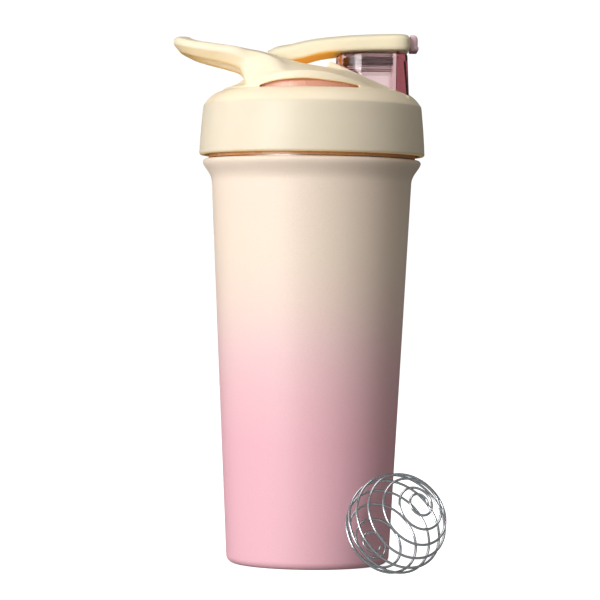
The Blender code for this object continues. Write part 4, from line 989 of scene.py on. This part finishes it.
def latch_button():
    rear, front, low, high = 43.7, 47.6, 232.4, 239.4
    profile = [(rear, low + 0.6), (rear + 0.3, low + 0.1), (rear + 0.9, low), (front - 0.7, low),
               (front - 0.15, low + 0.2), (front, low + 0.7), (front - 0.05, low + 1.5),
               (front - 0.45, low + 1.75), (front - 0.4, high - 3.0), (front - 0.45, high - 1.7),
               (front - 0.9, high - 0.6), (front - 1.7, high - 0.1), (rear + 0.9, high),
               (rear + 0.2, high - 0.15), (rear, high - 0.6)]
    middle = (low + high) / 2.0
    sections = []
    for k in range(25):
        t = -1.0 + 2.0 * k / 24
        y = BUTTON_HALF * math.copysign(1.0 - (1.0 - abs(t)) ** 1.6, t)
        shrink = 1.0 - 0.32 * max(0.0, (abs(y) - BUTTON_HALF + 1.4) / 1.4) ** 2
        sections.append([(rear + (x - rear) * shrink, y, middle + (z - middle) * shrink) for x, z in profile])
    button = raw_object("thumb_button", skin(bmesh.new(), sections, caps=True))
    cut(button, box((40.0, 46.0), (-8.35, 8.35), (233.45, 237.15)))
    return button


# ---------------------------------------------------------------------------------------------------------
# Whisk ball
# ---------------------------------------------------------------------------------------------------------

def whisk_tilt(turn):
    """Angle in degrees from the pole, which grows slowly in the end loops and evenly between them."""
    if turn < 1.0:
        return 10.0 + 6.0 * turn
    if turn > 9.0:
        return 164.0 + 6.0 * (turn - 9.0)
    return 16.0 + 18.5 * (turn - 1.0)


def whisk_points():
    """One wire wound from pole to pole of a sphere, with a tight loop at both ends."""
    pole = Vector(WHISK_POLE).normalized()
    across = (Vector((1.0, 0.0, 0.0)) - pole * pole.x).normalized()
    third = pole.cross(across)
    centre = Vector(WHISK_CENTRE)
    radius = WHISK_RADIUS - WIRE_DIAMETER / 2.0
    points = []
    for k in range(WHISK_TURNS * WHISK_STEPS + 1):
        tilt = math.radians(whisk_tilt(k / WHISK_STEPS))
        angle = 2.0 * math.pi * k / WHISK_STEPS
        points.append(centre + pole * radius * math.cos(tilt)
                      + (across * math.cos(angle) + third * math.sin(angle)) * radius * math.sin(tilt))
    return points


# ---------------------------------------------------------------------------------------------------------
# The object
# ---------------------------------------------------------------------------------------------------------

coat = powder_coat()
place(outer_shell(), coat, "bottle", "powder_coat", "outer_shell")
liner_steel = steel("liner_steel", (0.66, 0.65, 0.64), 0.32, (1.0, 1.0, 14.0))
place(inner_liner(), liner_steel, "bottle", "liner_steel", "inner_liner")

# Painted light: the lid is lighter above its crease, as if lit from above. Its faces that look down carry a warm
# tint and glow for light from below.
lid_plastic = moulded_plastic("lid_plastic", CREAM, high=(207.0, 208.4, (0.960, 0.830, 0.620)),
                              under=(0.95, 0.66, 0.30), painted_glow=0.12)
place(lid_shell(), lid_plastic, "lid", "lid_plastic", "lid_shell", sharp=50.0)
# The skirt's foot turns deep orange: painted shade in the gap between the lid and the flange.
core_plastic = clear_plastic("core_plastic", (0.76, 0.40, 0.29), 0.08, (0.22, 0.30),
                             low=(192.0, 186.0, (0.84, 0.38, 0.13)))
place(lid_core(), core_plastic, "lid", "core_plastic", "lid_core")
spout_plastic = clear_plastic("spout_plastic", (0.98, 0.93, 0.93), 1.0, (0.04, 0.08),
                              absorb=(0.62, 0.20, 0.25), density=98.0)
place(spout(), spout_plastic, "lid", "core_plastic", "lid_core")
place(mouth_gasket(), silicone("gasket_silicone", (0.72, 0.70, 0.67)), "gasket", "gasket_silicone",
      "mouth_gasket")

# Painted light: the bar's faces that look down, behind X = 14 mm, carry an orange tint and glow for light from
# below.
bar_plastic = moulded_plastic("bar_plastic", (0.985, 0.872, 0.630), under=(0.88, 0.46, 0.06), painted_glow=0.34,
                              until=14.0)
place(flip_bar(), bar_plastic, "cap", "bar_plastic", "flip_bar", sharp=50.0)
stopper_plastic = clear_plastic("stopper_plastic", (0.97, 0.92, 0.91), 1.0, (0.06, 0.10),
                                absorb=(0.62, 0.25, 0.30), density=20.0)
place(stopper(), stopper_plastic, "cap", "stopper_plastic", "stopper")
place(spout_seal(), silicone("seal_silicone", (0.085, 0.050, 0.052)), "cap", "seal_silicone",
      "spout_seal")
button_plastic = clear_plastic("button_plastic", (0.97, 0.66, 0.74), 0.05, (0.10, 0.18))
place(latch_button(), button_plastic, "button", "button_plastic", "latch_button")

whisk_steel = steel("whisk_steel", (0.66, 0.71, 0.74), 0.16, bump=0.04)
wire("whisk_wire", whisk_points(), WIRE_DIAMETER, whisk_steel, "whisk", "whisk_wire", "whisk_ball")

carried = {
    "base_cover": coat,
    "vacuum_base_plate": steel("plate_steel", (0.60, 0.60, 0.59), 0.42, (14.0, 1.0, 1.0)),
    "vacuum_plug": steel("plug_metal", (0.50, 0.50, 0.50), 0.40),
    "getter_capsule": steel("getter_metal", (0.30, 0.30, 0.32), 0.55),
    "hinge_pin": steel("pin_steel", (0.64, 0.64, 0.63), 0.22, (1.0, 14.0, 1.0)),
    "hinge_spring_left": steel("spring_steel", (0.55, 0.55, 0.56), 0.30),
    "hinge_spring_right": steel("spring_steel_right", (0.55, 0.55, 0.56), 0.30),
    # Painted light: the underplate's amber tone stands in for the warm light under the bar.
    "bar_underplate": moulded_plastic("underplate_plastic", (0.88, 0.66, 0.40)),
    "latch_hook": clear_plastic("hook_plastic", (0.70, 0.38, 0.45), 0.25, (0.20, 0.28)),
    "button_spring": steel("button_spring_steel", (0.62, 0.62, 0.62), 0.28),
}
for node, material in carried.items():
    thing = frame["nodes"][node]
    if not thing.material_slots:
        thing.data.materials.append(material)
    for slot in thing.material_slots:
        slot.material = material


# ---------------------------------------------------------------------------------------------------------
# Floor, light and camera
# ---------------------------------------------------------------------------------------------------------

FLOOR_RADIUS = 4200.0
LIGHT_TARGET = (0.0, 0.0, 0.12)
LIGHT_DISTANCE = 1.6


def floor():
    angles = [2.0 * math.pi * k / 96 for k in range(96)]
    rows = [[(FLOOR_RADIUS * math.cos(a), FLOOR_RADIUS * math.sin(a), z) for a in angles] for z in (-6.0, -0.02)]
    thing = raw_object("floor", skin(bmesh.new(), rows, caps=True))
    n = Nodes("floor_paint")
    n.colour(n.mix(n.remap(n.noise(3.0, 2.0), 0.0, 1.0), (0.93, 0.93, 0.93), (0.95, 0.95, 0.95)))
    n.set(Roughness=0.9, Emission_Color=WHITE, Emission_Strength=0.80, Specular_IOR_Level=0.1)
    thing.data.materials.append(n.material)
    thing.visible_diffuse = False
    thing.visible_glossy = False
    thing.visible_shadow = False


def softbox(name, azimuth, elevation, size, power):
    """A rectangular area light; azimuth 0 stands at the camera's side and +90 at the spout's side."""
    light = bpy.data.lights.new(name, "AREA")
    light.shape = "RECTANGLE"
    light.size, light.size_y = size
    light.energy = power
    thing = bpy.data.objects.new(name, light)
    bpy.context.scene.collection.objects.link(thing)
    a, e = math.radians(azimuth), math.radians(elevation)
    direction = Vector((math.sin(a) * math.cos(e), -math.cos(a) * math.cos(e), math.sin(e)))
    thing.location = Vector(LIGHT_TARGET) + direction * LIGHT_DISTANCE
    thing.rotation_euler = direction.to_track_quat("Z", "Y").to_euler()


def world():
    """A warm dim room, brighter above. Gloss mirrors one that is brighter on the camera's side, and the camera and
    what is seen through clear plastic get plain white."""
    scene_world = bpy.data.worlds.new("studio")
    scene_world.use_nodes = True
    tree = scene_world.node_tree
    room = tree.nodes["Background"]
    room.inputs["Color"].default_value = (1.0, 0.955, 0.885, 1.0)
    mirrored = tree.nodes.new("ShaderNodeBackground")
    seen = tree.nodes.new("ShaderNodeBackground")
    seen.inputs["Color"].default_value = WHITE
    seen.inputs["Strength"].default_value = 1.05
    split = tree.nodes.new("ShaderNodeSeparateXYZ")
    tree.links.new(tree.nodes.new("ShaderNodeTexCoord").outputs["Generated"], split.inputs["Vector"])
    for shader, axis, low, high in ((room, "Z", 0.10, 0.34), (mirrored, "Y", 0.50, 0.02)):
        strength = tree.nodes.new("ShaderNodeMapRange")
        for name, value in (("From Min", -1.0), ("From Max", 1.0), ("To Min", low), ("To Max", high)):
            strength.inputs[name].default_value = value
        tree.links.new(split.outputs[axis], strength.inputs["Value"])
        tree.links.new(strength.outputs["Result"], shader.inputs["Strength"])
    path = tree.nodes.new("ShaderNodeLightPath")
    either = tree.nodes.new("ShaderNodeMath")
    either.operation = "MAXIMUM"
    tree.links.new(path.outputs["Is Camera Ray"], either.inputs[0])
    tree.links.new(path.outputs["Is Transmission Ray"], either.inputs[1])
    surface = room.outputs["Background"]
    for share, shader in ((path.outputs["Is Glossy Ray"], mirrored), (either.outputs["Value"], seen)):
        blend = tree.nodes.new("ShaderNodeMixShader")
        tree.links.new(share, blend.inputs["Fac"])
        tree.links.new(surface, blend.inputs[1])
        tree.links.new(shader.outputs["Background"], blend.inputs[2])
        surface = blend.outputs["Shader"]
    tree.links.new(surface, tree.nodes["World Output"].inputs["Surface"])
    bpy.context.scene.world = scene_world


def camera():
    data = bpy.data.cameras.new("camera")
    data.sensor_width = 36.0
    data.lens = 168.0
    data.clip_start = 0.05
    data.clip_end = 20.0
    thing = bpy.data.objects.new("camera", data)
    bpy.context.scene.collection.objects.link(thing)
    thing.location = (-0.00465, -1.273, 0.128)
    pitch = math.radians(90.0 - 0.39)
    roll = math.radians(0.64)
    thing.rotation_euler = (Matrix.Rotation(pitch, 3, "X") @ Matrix.Rotation(roll, 3, "Z")).to_euler()
    bpy.context.scene.camera = thing


floor()
world()
softbox("key", -35.0, 12.0, (0.7, 1.0), 18.9)
softbox("side", -57.0, 12.0, (0.7, 1.0), 5.1)
softbox("edge", -103.0, 12.0, (0.7, 1.0), 2.7)
softbox("top", 40.0, 80.0, (0.7, 0.7), 4.5)
camera()

view = bpy.context.scene.view_settings
view.view_transform = "Standard"
view.look = "None"
bpy.context.scene.display_settings.display_device = "sRGB"
